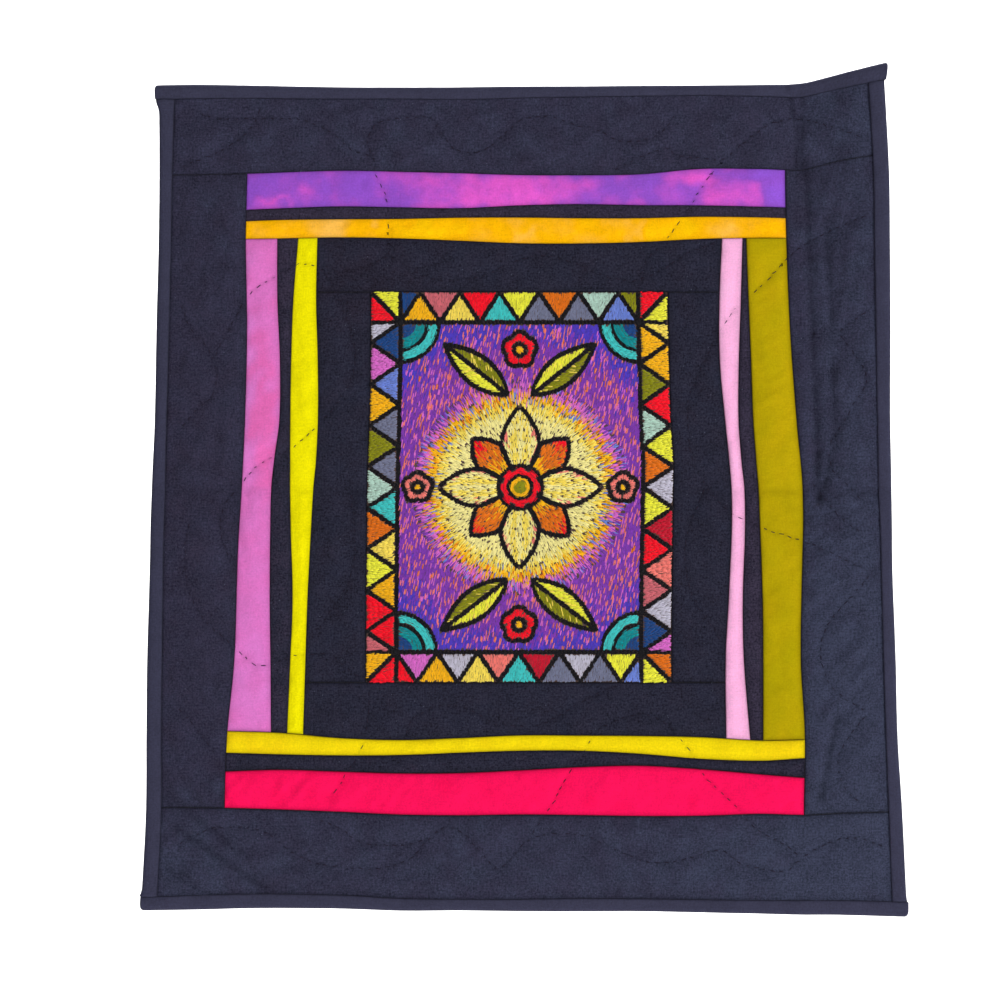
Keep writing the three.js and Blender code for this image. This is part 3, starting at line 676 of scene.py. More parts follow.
class Value:
    """A node's output, which takes part in sums as a number does."""

    def __init__(self, shader, socket):
        self.shader, self.socket = shader, socket

    def math(self, operation, *values):
        """The result of a Math node."""
        return self.shader.node("ShaderNodeMath", {"operation": operation}, dict(enumerate(values)))

    def __add__(self, other):
        return self.math("ADD", self, other)

    def __sub__(self, other):
        return self.math("SUBTRACT", self, other)

    def __rsub__(self, other):
        return self.math("SUBTRACT", other, self)

    def __mul__(self, other):
        return self.math("MULTIPLY", self, other)

    def __truediv__(self, other):
        return self.math("DIVIDE", self, other)

    def __pow__(self, other):
        return self.math("POWER", self, other)

    __radd__ = __add__
    __rmul__ = __mul__


class Shader:
    """A material that is written as expressions."""

    def __init__(self, name):
        self.material = bpy.data.materials.new(name)
        self.material.use_nodes = True
        self.tree = self.material.node_tree
        self.tree.nodes.clear()

    def node(self, kind, settings=None, inputs=None, output=0):
        """Adds a node with its settings, then its inputs, and gives one of its outputs."""
        made = self.tree.nodes.new(kind)
        for key, value in (settings or {}).items():
            setattr(made, key, value)
        for key, value in (inputs or {}).items():
            if isinstance(value, Value):
                self.tree.links.new(value.socket, made.inputs[key])
            else:
                made.inputs[key].default_value = value
        return Value(self, made.outputs[output])

    def place(self):
        """Where a point is on the hanging, in millimetres."""
        at = self.node("ShaderNodeTexCoord", output="Object")
        return self.node("ShaderNodeMapping", {}, {"Vector": at, "Scale": (1000, 1000, 1000)})

    def grain(self, stretch=(1, 1), turn=0.0):
        """Where a point is on the flat cloth, in millimetres, along its width and its length."""
        at = self.node("ShaderNodeUVMap", {"uv_map": "grain"})
        scale = (1000 * stretch[0], 1000 * stretch[1], 1)
        turned = self.node("ShaderNodeVectorRotate", {"rotation_type": "Z_AXIS"}, {"Vector": at, "Angle": turn})
        return self.node("ShaderNodeMapping", {}, {"Vector": turned, "Scale": scale})

    def spots(self, at, spacing):
        """The distance to the nearest of many scattered points, as a share of their spacing."""
        inputs = {"Vector": at, "Scale": 1 / spacing, "Randomness": 1.0}
        return self.node("ShaderNodeTexVoronoi", {"feature": "F1"}, inputs)

    def noise(self, at, spacing, detail=2.0, roughness=0.5):
        """Soft noise with a spacing, from 0 to 1."""
        inputs = {"Vector": at, "Scale": 1 / spacing, "Detail": detail, "Roughness": roughness}
        return self.node("ShaderNodeTexNoise", {}, inputs)

    def attribute(self, name):
        """A value that the mesh holds at its points."""
        return self.node("ShaderNodeAttribute", {"attribute_name": name}, output="Fac")

    def range(self, value, low, high):
        """A smooth step from 0 where a value is low to 1 where it is high."""
        inputs = {"Value": value, "From Min": low, "From Max": high, "To Min": 0.0, "To Max": 1.0}
        return self.node("ShaderNodeMapRange", {"interpolation_type": "SMOOTHSTEP"}, inputs)

    def mix(self, share, first, second):
        """A colour between the first and the second, which is plain."""
        inputs = {0: share, 6: first, 7: (*second, 1)}
        return self.node("ShaderNodeMix", {"data_type": "RGBA"}, inputs, output=2)

    def scaled(self, colour, value):
        """A colour made lighter or darker by a value that varies."""
        return self.node("ShaderNodeVectorMath", {"operation": "SCALE"}, {0: colour, "Scale": value})

    def solid(self, colour):
        """A plain colour as a socket."""
        return self.node("ShaderNodeCombineXYZ", {}, dict(enumerate(colour)))

    def finish(self, colour, height=None, lift=0.1, **constants):
        """Closes the material: its colour, its bump with a full height in millimetres, and its constants."""
        inputs = {"Base Color": colour}
        if height is not None:
            bump = {"Height": height, "Distance": lift * MM, "Strength": 1.0}
            inputs["Normal"] = self.node("ShaderNodeBump", {}, bump)
        names = {
            "roughness": "Roughness",
            "sheen": "Sheen Weight",
            "sheen_roughness": "Sheen Roughness",
            "specular": "Specular IOR Level",
        }
        inputs.update({names[key]: value for key, value in constants.items()})
        surface = self.node("ShaderNodeBsdfPrincipled", {}, inputs)
        out = self.tree.nodes.new("ShaderNodeOutputMaterial")
        self.tree.links.new(surface.socket, out.inputs["Surface"])
        return self.material


def linear(colour):
    """A display colour as light."""
    return tuple(c / 12.92 if c <= 0.04045 else ((c + 0.055) / 1.055) ** 2.4 for c in colour)


LINT_COLOUR = (0.40, 0.43, 0.52)
GROUND_COLOUR = (0.36, 0.29, 0.27)


def cloth_material(
    name, colour, second=None, third=None, slub=0.10, lint=0.0, mottle=0.06, speckle=0.3,
    feather=0.7, feather_size=5.0, sheen=0.02,
):
    """Woven cotton: fine weave, slubs both ways, dye in up to three colours with painted sheen on the border, painted
    shade in its seams, folds and pits, and lint.
    """
    shader = Shader(name)
    grain = shader.grain()
    mixed = shader.solid(linear(colour))
    amount = shader.attribute("dye_and_painted_sheen") + (shader.noise(grain, feather_size, 4.0, 0.65) - 0.5) * feather
    if second is not None:
        mixed = shader.mix(shader.range(amount, -0.15, 1.15), mixed, linear(second))
    if third is not None:
        mixed = shader.mix(shader.range(amount * -1, -0.15, 1.15), mixed, linear(third))
    across = shader.noise(shader.grain((0.14, 1)), 0.7, 2.0)
    along = shader.noise(shader.grain((1, 0.14)), 0.7, 2.0)
    cloudy = shader.noise(grain, 15, 3.0, 0.6)
    grainy = shader.noise(grain, 1.15, 2.0, 0.7)
    tone = 1 + (across + along - 1) * (2 * slub) + (cloudy - 0.5) * (3 * mottle) + (grainy - 0.5) * speckle
    # Painted shade: the groove attribute darkens the colour in seams, sharp folds, stitch pits and the bindings'
    # ditches.
    tone = tone * (1 - shader.attribute("groove") * 0.8)
    mixed = shader.scaled(mixed, tone)
    if lint:
        # Dots and short fibres of lint, in drifts.
        where = shader.range(shader.noise(grain, 7.0, 2.0), 0.5, 0.62)
        dots = shader.spots(grain, 3.4)
        fibres = shader.spots(shader.grain((1, 0.3), 0.6), 3.0)
        fluff = shader.range(dots, 0.085, 0.03) * where
        fluff = fluff + shader.range(fibres, 0.07, 0.02) * (1 - where) * 0.7
        mixed = shader.mix(fluff * lint, mixed, linear(LINT_COLOUR))
    weave = (across + along) * 0.5 + grainy * 0.5
    return shader.finish(mixed, weave, 0.2, roughness=0.9, sheen=sheen, sheen_roughness=0.45, specular=0.05)


def thread_material(name, colour, roughness=0.5, specular=0.2):
    """Stranded cotton thread: fine strands, a soft shine and a tone that changes from stitch to stitch."""
    shader = Shader(name)
    strands = shader.noise(shader.place(), 0.25, 1.0)
    tone = 0.86 + shader.attribute("tone") * 0.26 + (strands - 0.5) * 0.2
    coloured = shader.scaled(shader.solid(linear(colour)), tone)
    return shader.finish(coloured, strands, 0.05, roughness=roughness, specular=specular)


# Settings


def colour_setting(name, description, *levels):
    """A colour that the user may change, given as display levels from 0 to 255."""
    return bpy.props.FloatVectorProperty(
        name=name,
        description=description,
        default=tuple(level / 255 for level in levels),
        subtype="COLOR_GAMMA",
        size=3,
        min=0,
        max=1,
    )


def length_setting(name, description, millimetres):
    """A length that the user may change, given in millimetres."""
    return bpy.props.FloatProperty(
        name=name, description=description, default=millimetres * MM, min=0, unit="LENGTH", subtype="DISTANCE"
    )


class HangingSizes(bpy.types.PropertyGroup):
    """Sizes of the cloth, the padding and the stitches."""

    cloth_cell: length_setting("Cloth step", "Distance between the points of the pieced cloth", 1.45)
    back_cell: length_setting("Back step", "Distance between the points of the padded core", 3.2)
    binding_cell: length_setting("Binding step", "Distance between the points along the binding", 2.6)
    padding: length_setting("Padding", "How high the padding stands between quilting lines", 0.9)
    stitch_pitch: length_setting("Quilting pitch", "Distance from one quilting stitch to the next", 4.9)
    stitch_length: length_setting("Quilting stitch", "Length of a quilting stitch on the front", 2.5)
    quilting_thread: length_setting("Quilting thread", "Width of the quilting thread", 0.5)
    thread_width: length_setting("Embroidery thread", "Width of the embroidery thread", 0.95)
    thread_pitch: length_setting("Embroidery row", "Distance between threads that lie side by side", 0.62)
    thread_length: length_setting("Embroidery stitch", "Length of an embroidery stitch", 2.95)


class HangingColours(bpy.types.PropertyGroup):
    """Colours of the cloths, as they look."""

    border: colour_setting("Border", "Blue-black cloth of the border", 47, 46, 65)
    binding: colour_setting("Binding", "Cloth of the binding", 57, 57, 77)
    inner: colour_setting("Black", "Black cloth round the panel and between the strips", 38, 38, 53)
    back: colour_setting("Back", "Backing cloth", 33, 33, 45)
    gap: colour_setting("Black strips", "Black strips between the coloured ones", 50, 44, 61)
    purple: colour_setting("Purple", "Purple cloth", 146, 79, 197)
    magenta: colour_setting("Magenta", "Magenta patches in the purple cloth", 226, 90, 202)
    violet: colour_setting("Violet", "Blue patches in the purple cloth", 146, 86, 212)
    orange: colour_setting("Orange", "Orange cloth", 253, 182, 1)
    apricot: colour_setting("Apricot", "Pale patches in the orange cloth", 255, 192, 84)
    saffron: colour_setting("Saffron", "Yellower patches in the orange cloth", 255, 198, 2)
    orchid: colour_setting("Orchid", "Orchid cloth", 219, 115, 193)
    rose: colour_setting("Rose", "Pinker patches in the orchid cloth", 226, 104, 178)
    lilac: colour_setting("Lilac", "Paler patches in the orchid cloth", 222, 126, 206)
    lemon: colour_setting("Lemon", "Lemon cloth", 240, 228, 2)
    amber: colour_setting("Amber", "Warmer patches in the golden cloth", 240, 204, 14)
    pink: colour_setting("Pink", "Light pink cloth", 254, 181, 225)
    shell: colour_setting("Shell", "Paler patches in the pink cloth", 250, 188, 228)
    olive: colour_setting("Olive", "Olive cloth", 178, 156, 4)
    brass: colour_setting("Brass", "Golden patches in the olive cloth", 192, 160, 6)
    moss: colour_setting("Moss", "Greener patches in the olive cloth", 168, 154, 3)
    gold: colour_setting("Gold", "Golden cloth", 243, 216, 11)
    crimson: colour_setting("Crimson", "Crimson cloth", 252, 17, 89)
    ruby: colour_setting("Ruby", "Deeper patches in the crimson cloth", 242, 6, 74)
    # Slate is mostly painted sheen on the border, towards its right side and foot.
    slate: colour_setting("Slate", "Paler patches in the border", 54, 58, 78)
    plum: colour_setting("Plum", "Redder patches in the border", 46, 41, 58)
    coal: colour_setting("Coal", "Bluer patches in the black cloth", 36, 39, 56)
    umber: colour_setting("Umber", "Redder patches in the black cloth", 38, 33, 46)
    quilting: colour_setting("Quilting thread", "Thread of the hand quilting", 40, 33, 48)


def sizes():
    """The sizes as set now."""
    return bpy.context.scene.hanging_sizes


def colours():
    """The colours as set now."""
    return bpy.context.scene.hanging_colours


@functools.cache
def quilting():
    """The quilting of this run, worked out once."""
    return Quilting(sizes())


def level(z):
    """A level line as a curve."""
    return lambda x: z + 0 * x


CURVES = {**ACROSS, **SIDES, **UPRIGHTS, **LEVELS, "panel_head": level(PANEL_HEAD), "panel_foot": level(PANEL_FOOT)}

# The pieced cloths and the curves at their sides. Free sides run in under the binding.
PIECES = rows_of(
    ("name", "cloth", "left", "right", "foot", "head", "free"),
    [
        ("purple_top", "purple", "block_left", "block_right", "purple_foot", "top_border", ""),
        ("gap_top", "gap", "block_left", "block_right", "orange_top", "purple_foot", ""),
        ("orange_top", "orange", "block_left", "block_right", "orange_foot", "orange_top", ""),
        ("orchid_left", "orchid", "block_left", "orchid_right", "gold_top", "orange_foot", ""),
        ("gap_left", "gap", "orchid_right", "lemon_left", "gold_top", "orange_foot", ""),
        ("lemon_left", "lemon", "lemon_left", "lemon_right", "gold_top", "orange_foot", ""),
        ("pink_right", "pink", "pink_left", "pink_right", "gold_top", "orange_foot", ""),
        ("gap_right", "gap", "pink_right", "olive_left", "gold_top", "orange_foot", ""),
        ("olive_right", "olive", "olive_left", "block_right", "gold_top", "orange_foot", ""),
        ("gold_foot", "gold", "block_left", "block_right", "gold_foot", "gold_top", ""),
        ("gap_foot", "gap", "block_left", "block_right", "crimson_top", "gold_foot", ""),
        ("crimson_foot", "crimson", "block_left", "block_right", "foot_border", "crimson_top", ""),
        ("inner_top", "inner", "lemon_right", "pink_left", "panel_head", "orange_foot", ""),
        ("inner_left", "inner", "lemon_right", "panel_left", "panel_foot", "panel_head", ""),
        ("inner_right", "inner", "panel_right", "pink_left", "panel_foot", "panel_head", ""),
        ("inner_foot", "inner", "lemon_right", "pink_left", "gold_top", "panel_foot", ""),
        ("border_top", "border", "left_edge", "right_edge", "top_border", "top_edge", "left right head"),
        ("border_left", "border", "left_edge", "block_left", "foot_border", "top_border", "left"),
        ("border_right", "border", "block_right", "right_edge", "foot_border", "top_border", "right"),
        ("border_foot", "border", "left_edge", "right_edge", "foot_edge", "foot_border", "left right foot"),
        ("stitched_panel", "ground", "panel_left", "panel_right", "panel_foot", "panel_head", ""),
    ],
)
PIECES = {row["name"]: row for row in PIECES}
CORE = {
    "left": "left_edge", "right": "right_edge", "foot": "foot_edge", "head": "top_edge",
    "free": "left right foot head",
}


def patch_of(row, cell):
    """The patch of a piece, drawn in from the outer edge where it is free."""
    free = row["free"].split()

    def side(name, way):
        curve = CURVES[row[name]]
        return (lambda t: curve(t) + way * EDGE_INSET) if name in free else curve

    return Patch(side("left", 1), side("right", -1), side("foot", 1), side("head", -1), cell, free)


def relief(patch, base, padding, share=1.0):
    """The height of a patch: padding between its seams and quilting lines, small waves, and turned edges."""
    quilt = quilting()
    x, z = patch.x, patch.z
    opened = 1 - bell(patch.open, SEAM_REACH)
    loft = quilt.read("loft", x, z)
    tight = 1 - quilt.read("groove", x, z)
    puff = padding * opened * (0.62 * loft + 0.38 * tight * loft ** 0.35)
    fine = quilt.read("fine", x, z) * step(0, 2.4, patch.open)
    return base - patch.drop + np.where(patch.shown, puff + share * fine, 0)


def painted_shade_of(patch):
    """How much painted shade a place gets from a seam, a sharp fold or a stitch's pit, from 0 to 1, and full where
    turned under.
    """
    x, z, away = patch.x, patch.z, patch.from_seams
    # Painted shade: upright seams get darker to the right and level ones to the foot, away from where the light falls
    # in. The last two paint shadow along the bindings' own seams, on the left and at the foot.
    seam = np.maximum.reduce([
        np.exp(-np.minimum(away["left"], away["right"]) / SEAM_SHADE_REACH) * (0.6 + 0.4 * step(-150, 60, x)),
        np.exp(-np.minimum(away["foot"], away["head"]) / SEAM_SHADE_REACH) * (0.6 + 0.4 * step(-60, -360, z)),
        0.6 * np.exp(-np.maximum(0, x - SIDES["left_seam"](z)) / SEAM_SHADE_REACH),
        0.35 * np.exp(-np.maximum(0, z - ACROSS["foot_seam"](x)) / SEAM_SHADE_REACH),
    ])
    # Painted shade in the sharp folds and round the pits of the quilting stitches.
    folded = crease(x, z) * (1 + 0.25 * waves(31, x, z, 7))
    stitched = 0.28 * quilting().read("pit_shade", x, z)
    return np.clip(np.where(patch.shown, np.maximum(seam, folded + stitched), 1), 0, 1)


def make_patch(name):
    """Makes a piece of plain cloth with its padding."""
    row = PIECES[name]
    slot, material = cloths()[row["cloth"]]
    patch = patch_of(row, sizes().cloth_cell / MM)
    seed = 100 + 7 * sorted(PIECES).index(name)
    amount = dye_and_painted_sheen(row["cloth"], seed, patch.x, patch.z, 18, 0.13)
    height = relief(patch, CLOTH_TOP, sizes().padding / MM)
    piece = patch.build(name + "_cloth", height, material, {"dye_and_painted_sheen": amount, "groove": painted_shade_of(patch)})
    fit(piece, slot, name)
    flat, area = patch.flat_size()


# The bindings


# The section of a folded binding, from its seam, over the edge, to the hem behind: the share of the width, how far
# the point lies past that share, its height, and how much painted shade it gets in its ditch.
BINDING_SECTION = rows_of(
    ("share", "beyond", "height", "ditch"),
    [
        (0, 0.9, 1.60, 1.0), (0, 0.35, 1.62, 1.0), (0, 0.02, 1.82, 0.9), (0, 0.10, 2.18, 0.55), (0, 0.45, 2.45, 0.2),
        (0, 1.1, 2.60, 0.05), (0.3, 0.4, 2.70, 0), (0.55, 0, 2.75, 0), (1, -2.3, 2.66, 0), (1, -1.3, 2.34, 0),
        (1, -0.55, 1.75, 0), (1, -0.12, 0.95, 0), (1, 0, 0, 0), (1, -0.12, -0.95, 0), (1, -0.55, -1.75, 0),
        (1, -1.3, -2.34, 0), (1, -2.3, -2.62, 0), (0.55, 0, -2.72, 0), (0.3, 0.4, -2.66, 0), (0, 1.1, -2.5, 0.1),
        (0, 0.4, -2.3, 0.4), (0, 0.05, -2.0, 0.8), (0, 0.1, -1.8, 1.0), (0, 0.5, -1.72, 1.0),
    ],
)
# The round of a binding's corners, and how far the side bindings run in under the others and lie lower there.
CORNER = 2.3
TUCK = 3.2
TUCKED = {"inwards": 0.8, "height": 0.7}
# Rows close together at the ends, by their distance from the end.
ROUND_END = [0, 0.12, 0.45, 1.0, 1.9]
TUCKED_END = [0, 1.4, TUCK - 0.1, TUCK + 0.15, TUCK + 0.5]
# The rings that close a round end: their size and how far out they lie.
CAP = ((0.88, 0.2), (0.5, 0.3), (0.06, 0.3))


# The bindings across: their seam and edge, the places where they end at each, and how far they grow past the edge.
BINDINGS_ACROSS = rows_of(
    ("name", "seam", "edge", "left_seam", "left_edge", "right_seam", "right_edge", "grow"),
    [
        ("binding_top", "top_seam", "top_edge", -204.5, -205.2, 203.6, 204.9, 0.6),
        ("binding_foot", "foot_seam", "foot_edge", -212.7, -213.0, 217.4, 217.4, 0.75),
    ],
)
# The bindings up the sides, and how far their edge turns in or out at each end.
BINDINGS_UP = rows_of(
    ("name", "seam", "edge", "grow", "head_flare", "foot_flare"),
    [
        ("binding_left", "left_seam", "left_edge", 0.45, -1.9, -1.2),
        ("binding_right", "right_seam", "right_edge", 0.1, 0.0, 0.3),
    ],
)


def across_at(row, shares, a):
    """Places of a binding across, at shares of its length and at a from its seam, 0, to its edge, 1."""
    left = row["left_seam"] + a * (row["left_edge"] - row["left_seam"])
    right = row["right_seam"] + a * (row["right_edge"] - row["right_seam"])
    x = left + shares * (right - left)
    seam, edge = CURVES[row["seam"]](x), CURVES[row["edge"]](x)
    return x, seam + a * (edge - seam)


def up_at(row, shares, a):
    """Places of a binding up a side, which runs on under the bindings across."""
    z = -230 + 0 * shares * a
    foot, head = -454 + z * 0, -7 + z * 0
    for _ in range(5):
        flare = row["head_flare"] * bell(head - z, 4.2) + row["foot_flare"] * bell(z - foot, 2.2)
        seam, edge = CURVES[row["seam"]](z), CURVES[row["edge"]](z)
        x = seam + a * (edge + flare - seam)
        foot, head = ACROSS["foot_seam"](x), ACROSS["top_seam"](x)
        z = foot - TUCK + shares * (head - foot + 2 * TUCK)
    return x, z


def closed(points, flats):
    """Closes both ends of a strip with smaller rings."""
    caps = []
    for at, ahead in ((0, 1), (-1, -2)):
        ring = points[at]
        centre = ring.mean(0)
        way = (ring - points[ahead]).mean(0)
        way = way / np.linalg.norm(way)
        caps.append(np.stack([centre + (ring - centre) * size + way * out for size, out in CAP]))
    flats = np.concatenate([flats[:1]] * len(CAP) + [flats] + [flats[-1:]] * len(CAP))
    return np.concatenate([caps[0][::-1], points, caps[1]]), flats


def make_binding(row, place_at, length, ends, material):
    """A strip folded over the edge, from its seam on the front to its stitched edge on the back."""
    count = max(8, round(length / (sizes().binding_cell / MM)))
    near = np.array(ROUND_END if ends else TUCKED_END) / length
    shares = np.concatenate([near, np.linspace(0, 1, count + 1)[2:-2], 1 - near[::-1]])
    from_end = np.minimum(shares, 1 - shares) * length
    if ends:
        free = np.ones(len(shares))
        rounded = CORNER - np.sqrt(np.maximum(0, CORNER ** 2 - np.maximum(0, CORNER - from_end) ** 2))
    else:
        free = np.clip((from_end - TUCK + 0.1) / 0.6, 0, 1)
        rounded = TUCKED["inwards"] * (1 - free)
    seed = 300 + sum(ord(letter) for letter in row["name"]) % 50
    width = np.abs(np.subtract(place_at(row, shares, 1), place_at(row, shares, 0)))[1 if ends else 0]
    lines = []
    for point in BINDING_SECTION:
        beyond = point["beyond"] + point["share"] * (row["grow"] - rounded)
        x, z = place_at(row, shares, point["share"] + beyond / width)
        swell = 0.12 * waves(seed, x, z, 22) + 0.09 * waves(seed + 1, x, z, 6)
        height = point["height"] + math.copysign(min(1, abs(point["height"]) / 2), point["height"]) * swell
        height = height * (TUCKED["height"] + (1 - TUCKED["height"]) * free)
        lines.append(np.stack([x, bend(x, z) - height, z], -1))
    points = np.stack(lines, 1)
    middle = points[len(points) // 2]
    across = np.concatenate([[0], np.cumsum(np.linalg.norm(np.diff(middle, axis=0), axis=1))])
    flats = np.stack(np.broadcast_arrays(shares[:, None] * length, across[None, :]), -1)
    if ends:
        points, flats = closed(points, flats)
    faces = grid_faces(*points.shape[:2])
    if way_out(points, faces) < 0:
        faces = faces[:, ::-1]
    # Painted shade in the binding's ditch and hem, and in sharp folds.
    ditch = np.broadcast_to(np.array([point["ditch"] for point in BINDING_SECTION]), points.shape[:2])
    ditch = np.maximum(ditch, 0.7 * crease(points[..., 0], points[..., 2]))
    values = {"dye_and_painted_sheen": 0 * ditch, "groove": ditch}
    piece = make_mesh(row["name"] + "_strip", points.reshape(-1, 3), faces, material, flats.reshape(-1, 2), values)
    fit(piece, "binding_cloth", row["name"])
    length * MM


def way_out(points, faces):
    """Plus if the faces on the front look forwards."""
    flat = points.reshape(-1, 3)
    a, b, c = (flat[faces[:, k]] for k in (0, 1, 2))
    normals = np.cross(b - a, c - a)
    front = (a[:, 1] - bend(a[:, 0], a[:, 2])) < -2
    return -normals[front, 1].sum()


# Threads


# A thread's section, as shares of its width: its radius, the size of its shoulders and where they are along it, how
# high its middle lies and how far its ends dip in.
THREAD = {"radius": 0.62, "shoulder": 0.86, "shoulder_at": 0.39, "middle": 0.02, "dip": -0.22}


@functools.cache
def thread_shape():
    """One stitch as a thread that dips in at both ends: points along X, up Y and across Z, and its faces."""
    deselect()
    bpy.ops.mesh.primitive_uv_sphere_add(segments=3, ring_count=4, radius=0.5, location=(0, 0, 0))
    made = bpy.context.active_object
    bpy.ops.object.mode_set(mode="EDIT")
    bpy.ops.mesh.select_all(action="SELECT")
    bpy.ops.transform.rotate(value=math.pi / 2, orient_axis="Y", center_override=(0, 0, 0))
    bpy.ops.object.mode_set(mode="OBJECT")
    mesh = made.data
    points = np.array([v.co for v in mesh.vertices])
    faces = []
    for face in mesh.polygons:
        corners = list(face.vertices)
        faces += [corners[:1] + corners[k:k + 2] for k in range(1, len(corners) - 1)]
    bpy.data.objects.remove(made)
    bpy.data.meshes.remove(mesh)
    faces = np.array(faces)
    along = points[:, 0]
    ring = np.abs(along) < 0.4
    outer = ring & (np.abs(along) > 0.1)
    turn = np.arctan2(points[:, 2], points[:, 1])
    turn -= turn[np.flatnonzero(ring)[0]]
    size = np.where(ring, np.where(outer, THREAD["shoulder"], 1.0), 0.0)
    shaped = np.stack([
        np.where(outer, np.sign(along) * THREAD["shoulder_at"], along),
        np.where(ring, size * np.cos(turn) * THREAD["radius"] + THREAD["middle"], THREAD["dip"]),
        size * np.sin(turn) * THREAD["radius"],
    ], 1)
    volume = np.einsum("ij,ij->", shaped[faces[:, 0]], np.cross(shaped[faces[:, 1]], shaped[faces[:, 2]]))
    return shaped, faces if volume > 0 else faces[:, ::-1]


def threads(name, places, angles, lengths, width, surface, material, seed, back=False, rise=0.75):
    """Many stitches in one mesh, each lying on a surface that gives its height at places."""
    shape, shape_faces = thread_shape()
    count = len(places)
    rng = np.random.default_rng(seed)
    along = shape[None, :, 0] * lengths[:, None]
    aside = shape[None, :, 2] * width * rng.uniform(0.9, 1.1, count)[:, None]
    cos, sin = np.cos(angles)[:, None], np.sin(angles)[:, None]
    x = places[:, :1] + along * cos - aside * sin
    z = places[:, 1:] + along * sin + aside * cos
    lift = shape[None, :, 1] * width * rise * rng.uniform(0.85, 1.15, count)[:, None]
    side = -1 if back else 1
    y = bend(x, z) - side * (surface(x, z) + lift)
    points = np.stack([x, y, z], -1).reshape(-1, 3)
    faces = (shape_faces[None] + len(shape) * np.arange(count)[:, None, None]).reshape(-1, 3)
    a, b, c = (points[faces[:, k]] for k in (0, 1, 2))
    middle = points.reshape(count, -1, 3).mean(1).repeat(len(shape_faces), 0)
    if np.einsum("ij,ij->", np.cross(b - a, c - a), a - middle) < 0:
        faces = faces[:, ::-1]
    tone = np.repeat(rng.uniform(0, 1, count), len(shape))
    return make_mesh(name, points, faces, material, None, {"tone": tone})


# The embroidered design: a round flower in rays of light, leaves, blossoms and a zigzag edge.
# Lengths are from the middle of the panel, u to the right and v up.
PANEL_WIDE = 170.0
PANEL_TALL = PANEL_HEAD - PANEL_FOOT
EDGE_BAND = 17.0
FIELD_U = PANEL_WIDE / 2 - EDGE_BAND
FIELD_V = PANEL_TALL / 2 - EDGE_BAND
ZIG_ACROSS = 6
ZIG_UP = 8
WHOLE = (PANEL_WIDE / 2, PANEL_TALL / 2)
# The black outlines: half their width, their rows of stitches and the distance between stitches.
OUTLINE_HALF = 1.35
OUTLINE_ROWS = (-0.93, -0.31, 0.31, 0.93)
OUTLINE_PITCH = 2.1
# A stitch is cut back to one of these shares of its length, and dropped when little is left.
MARKS = (0.04, 0.17, 0.34, 0.5)
SHORTEST = 0.3
PETAL_FOOT = 11.0
PETALS = rows_of(("tip", "half_width", "first"), [(45, 10.5, 0.0), (38, 9.5, math.pi / 4)])
HEART_RINGS = (6.5, 12.0)
HALO_END = 60.0
CORNER_RINGS = (9.0, 15.5, 22.0)
LEAVES = rows_of(
    ("u0", "v0", "u1", "v1", "half_width"),
    [(7, 52, 43, 80, 8), (-7, 52, -43, 80, 8), (7, -52, 43, -80, 8), (-7, -52, -43, -80, 8)],
)
BLOSSOMS = rows_of(
    ("u", "v", "radius", "heart"),
    [(0, 77, 10, 3.4), (0, -77, 10, 3.4), (57, 0, 8.5, 3), (-57, 0, 8.5, 3)],
)

# The threads and their display levels.
THREADS = {
    "black": (16, 13, 20), "cream": (247, 236, 158), "straw": (250, 226, 96), "lime": (240, 238, 66),
    "golden": (250, 190, 18), "orange": (232, 122, 20), "salmon": (244, 132, 122), "rose": (214, 112, 122),
    "red": (250, 8, 40), "crimson": (205, 18, 50), "orchid": (224, 116, 208), "purple": (138, 64, 186),
    "violet": (86, 64, 200), "periwinkle": (118, 142, 220), "navy": (28, 74, 138), "teal": (4, 150, 156),
    "turquoise": (70, 206, 204), "mint": (186, 216, 202), "olive": (146, 146, 16), "silver": (200, 196, 212),
    "slate": (124, 128, 154),
}
EDGE_COLOURS = (
    "orchid", "lime", "slate", "red", "silver", "orange", "periwinkle", "golden", "salmon", "mint", "navy",
    "straw", "crimson", "olive", "rose", "turquoise", "silver", "golden", "red", "slate", "lime",
)


def petal_half(p, petal):
    """Half the width of a petal at a distance from the middle."""
    share = np.clip((p - PETAL_FOOT + 3) / (petal["tip"] - PETAL_FOOT + 3), 0, 1)
    return petal["half_width"] * np.sin(math.pi * share ** 0.85) ** 0.8


def petal_places(u, v, petal):
    """Where points are along and across the nearest petal of a ring of four, and which one it is."""
    turn = np.arctan2(v, u) - petal["first"]
    which = np.round(turn / (math.pi / 2))
    local = turn - which * math.pi / 2
    r = np.hypot(u, v)
    return r * np.cos(local), r * np.sin(local), which.astype(int) % 4


def in_petal(u, v, petal):
    """Whether places are in one of a ring's petals, and in which."""
    p, q, which = petal_places(u, v, petal)
    return (np.abs(q) < petal_half(p, petal)) & (p > 3) & (p < petal["tip"]), which


def zigzag(along, across, count, length):
    """Which triangle of the edge band a place is in, the inner ones first."""
    t = (along + length / 2) / (length / count)
    peak = EDGE_BAND * (1 - np.abs(2 * (t - np.floor(t)) - 1))
    return np.where(across < peak, np.floor(t), np.round(t) + count)


def rim_of(bloom, turn):
    """The outline of a blossom with five petals."""
    return bloom["radius"] * (0.80 + 0.20 * np.abs(np.cos(2.5 * turn)) ** 0.7)


def leaf_half(leaf, share):
    """Half the width of a leaf at a share of its length."""
    return leaf["half_width"] * np.sin(math.pi * np.clip(share, 0, 1) ** 0.9) ** 0.9


# Each part of the design has its thousand.
PARTS = ("ground", "halo", "petal", "petal_low", "heart", "leaf", "blossom", "corner", "edge_across", "edge_up")
REGIONS = {name: 1000 * (i + 1) for i, name in enumerate(PARTS)}
OPEN_FIELD = (REGIONS["ground"], REGIONS["halo"])


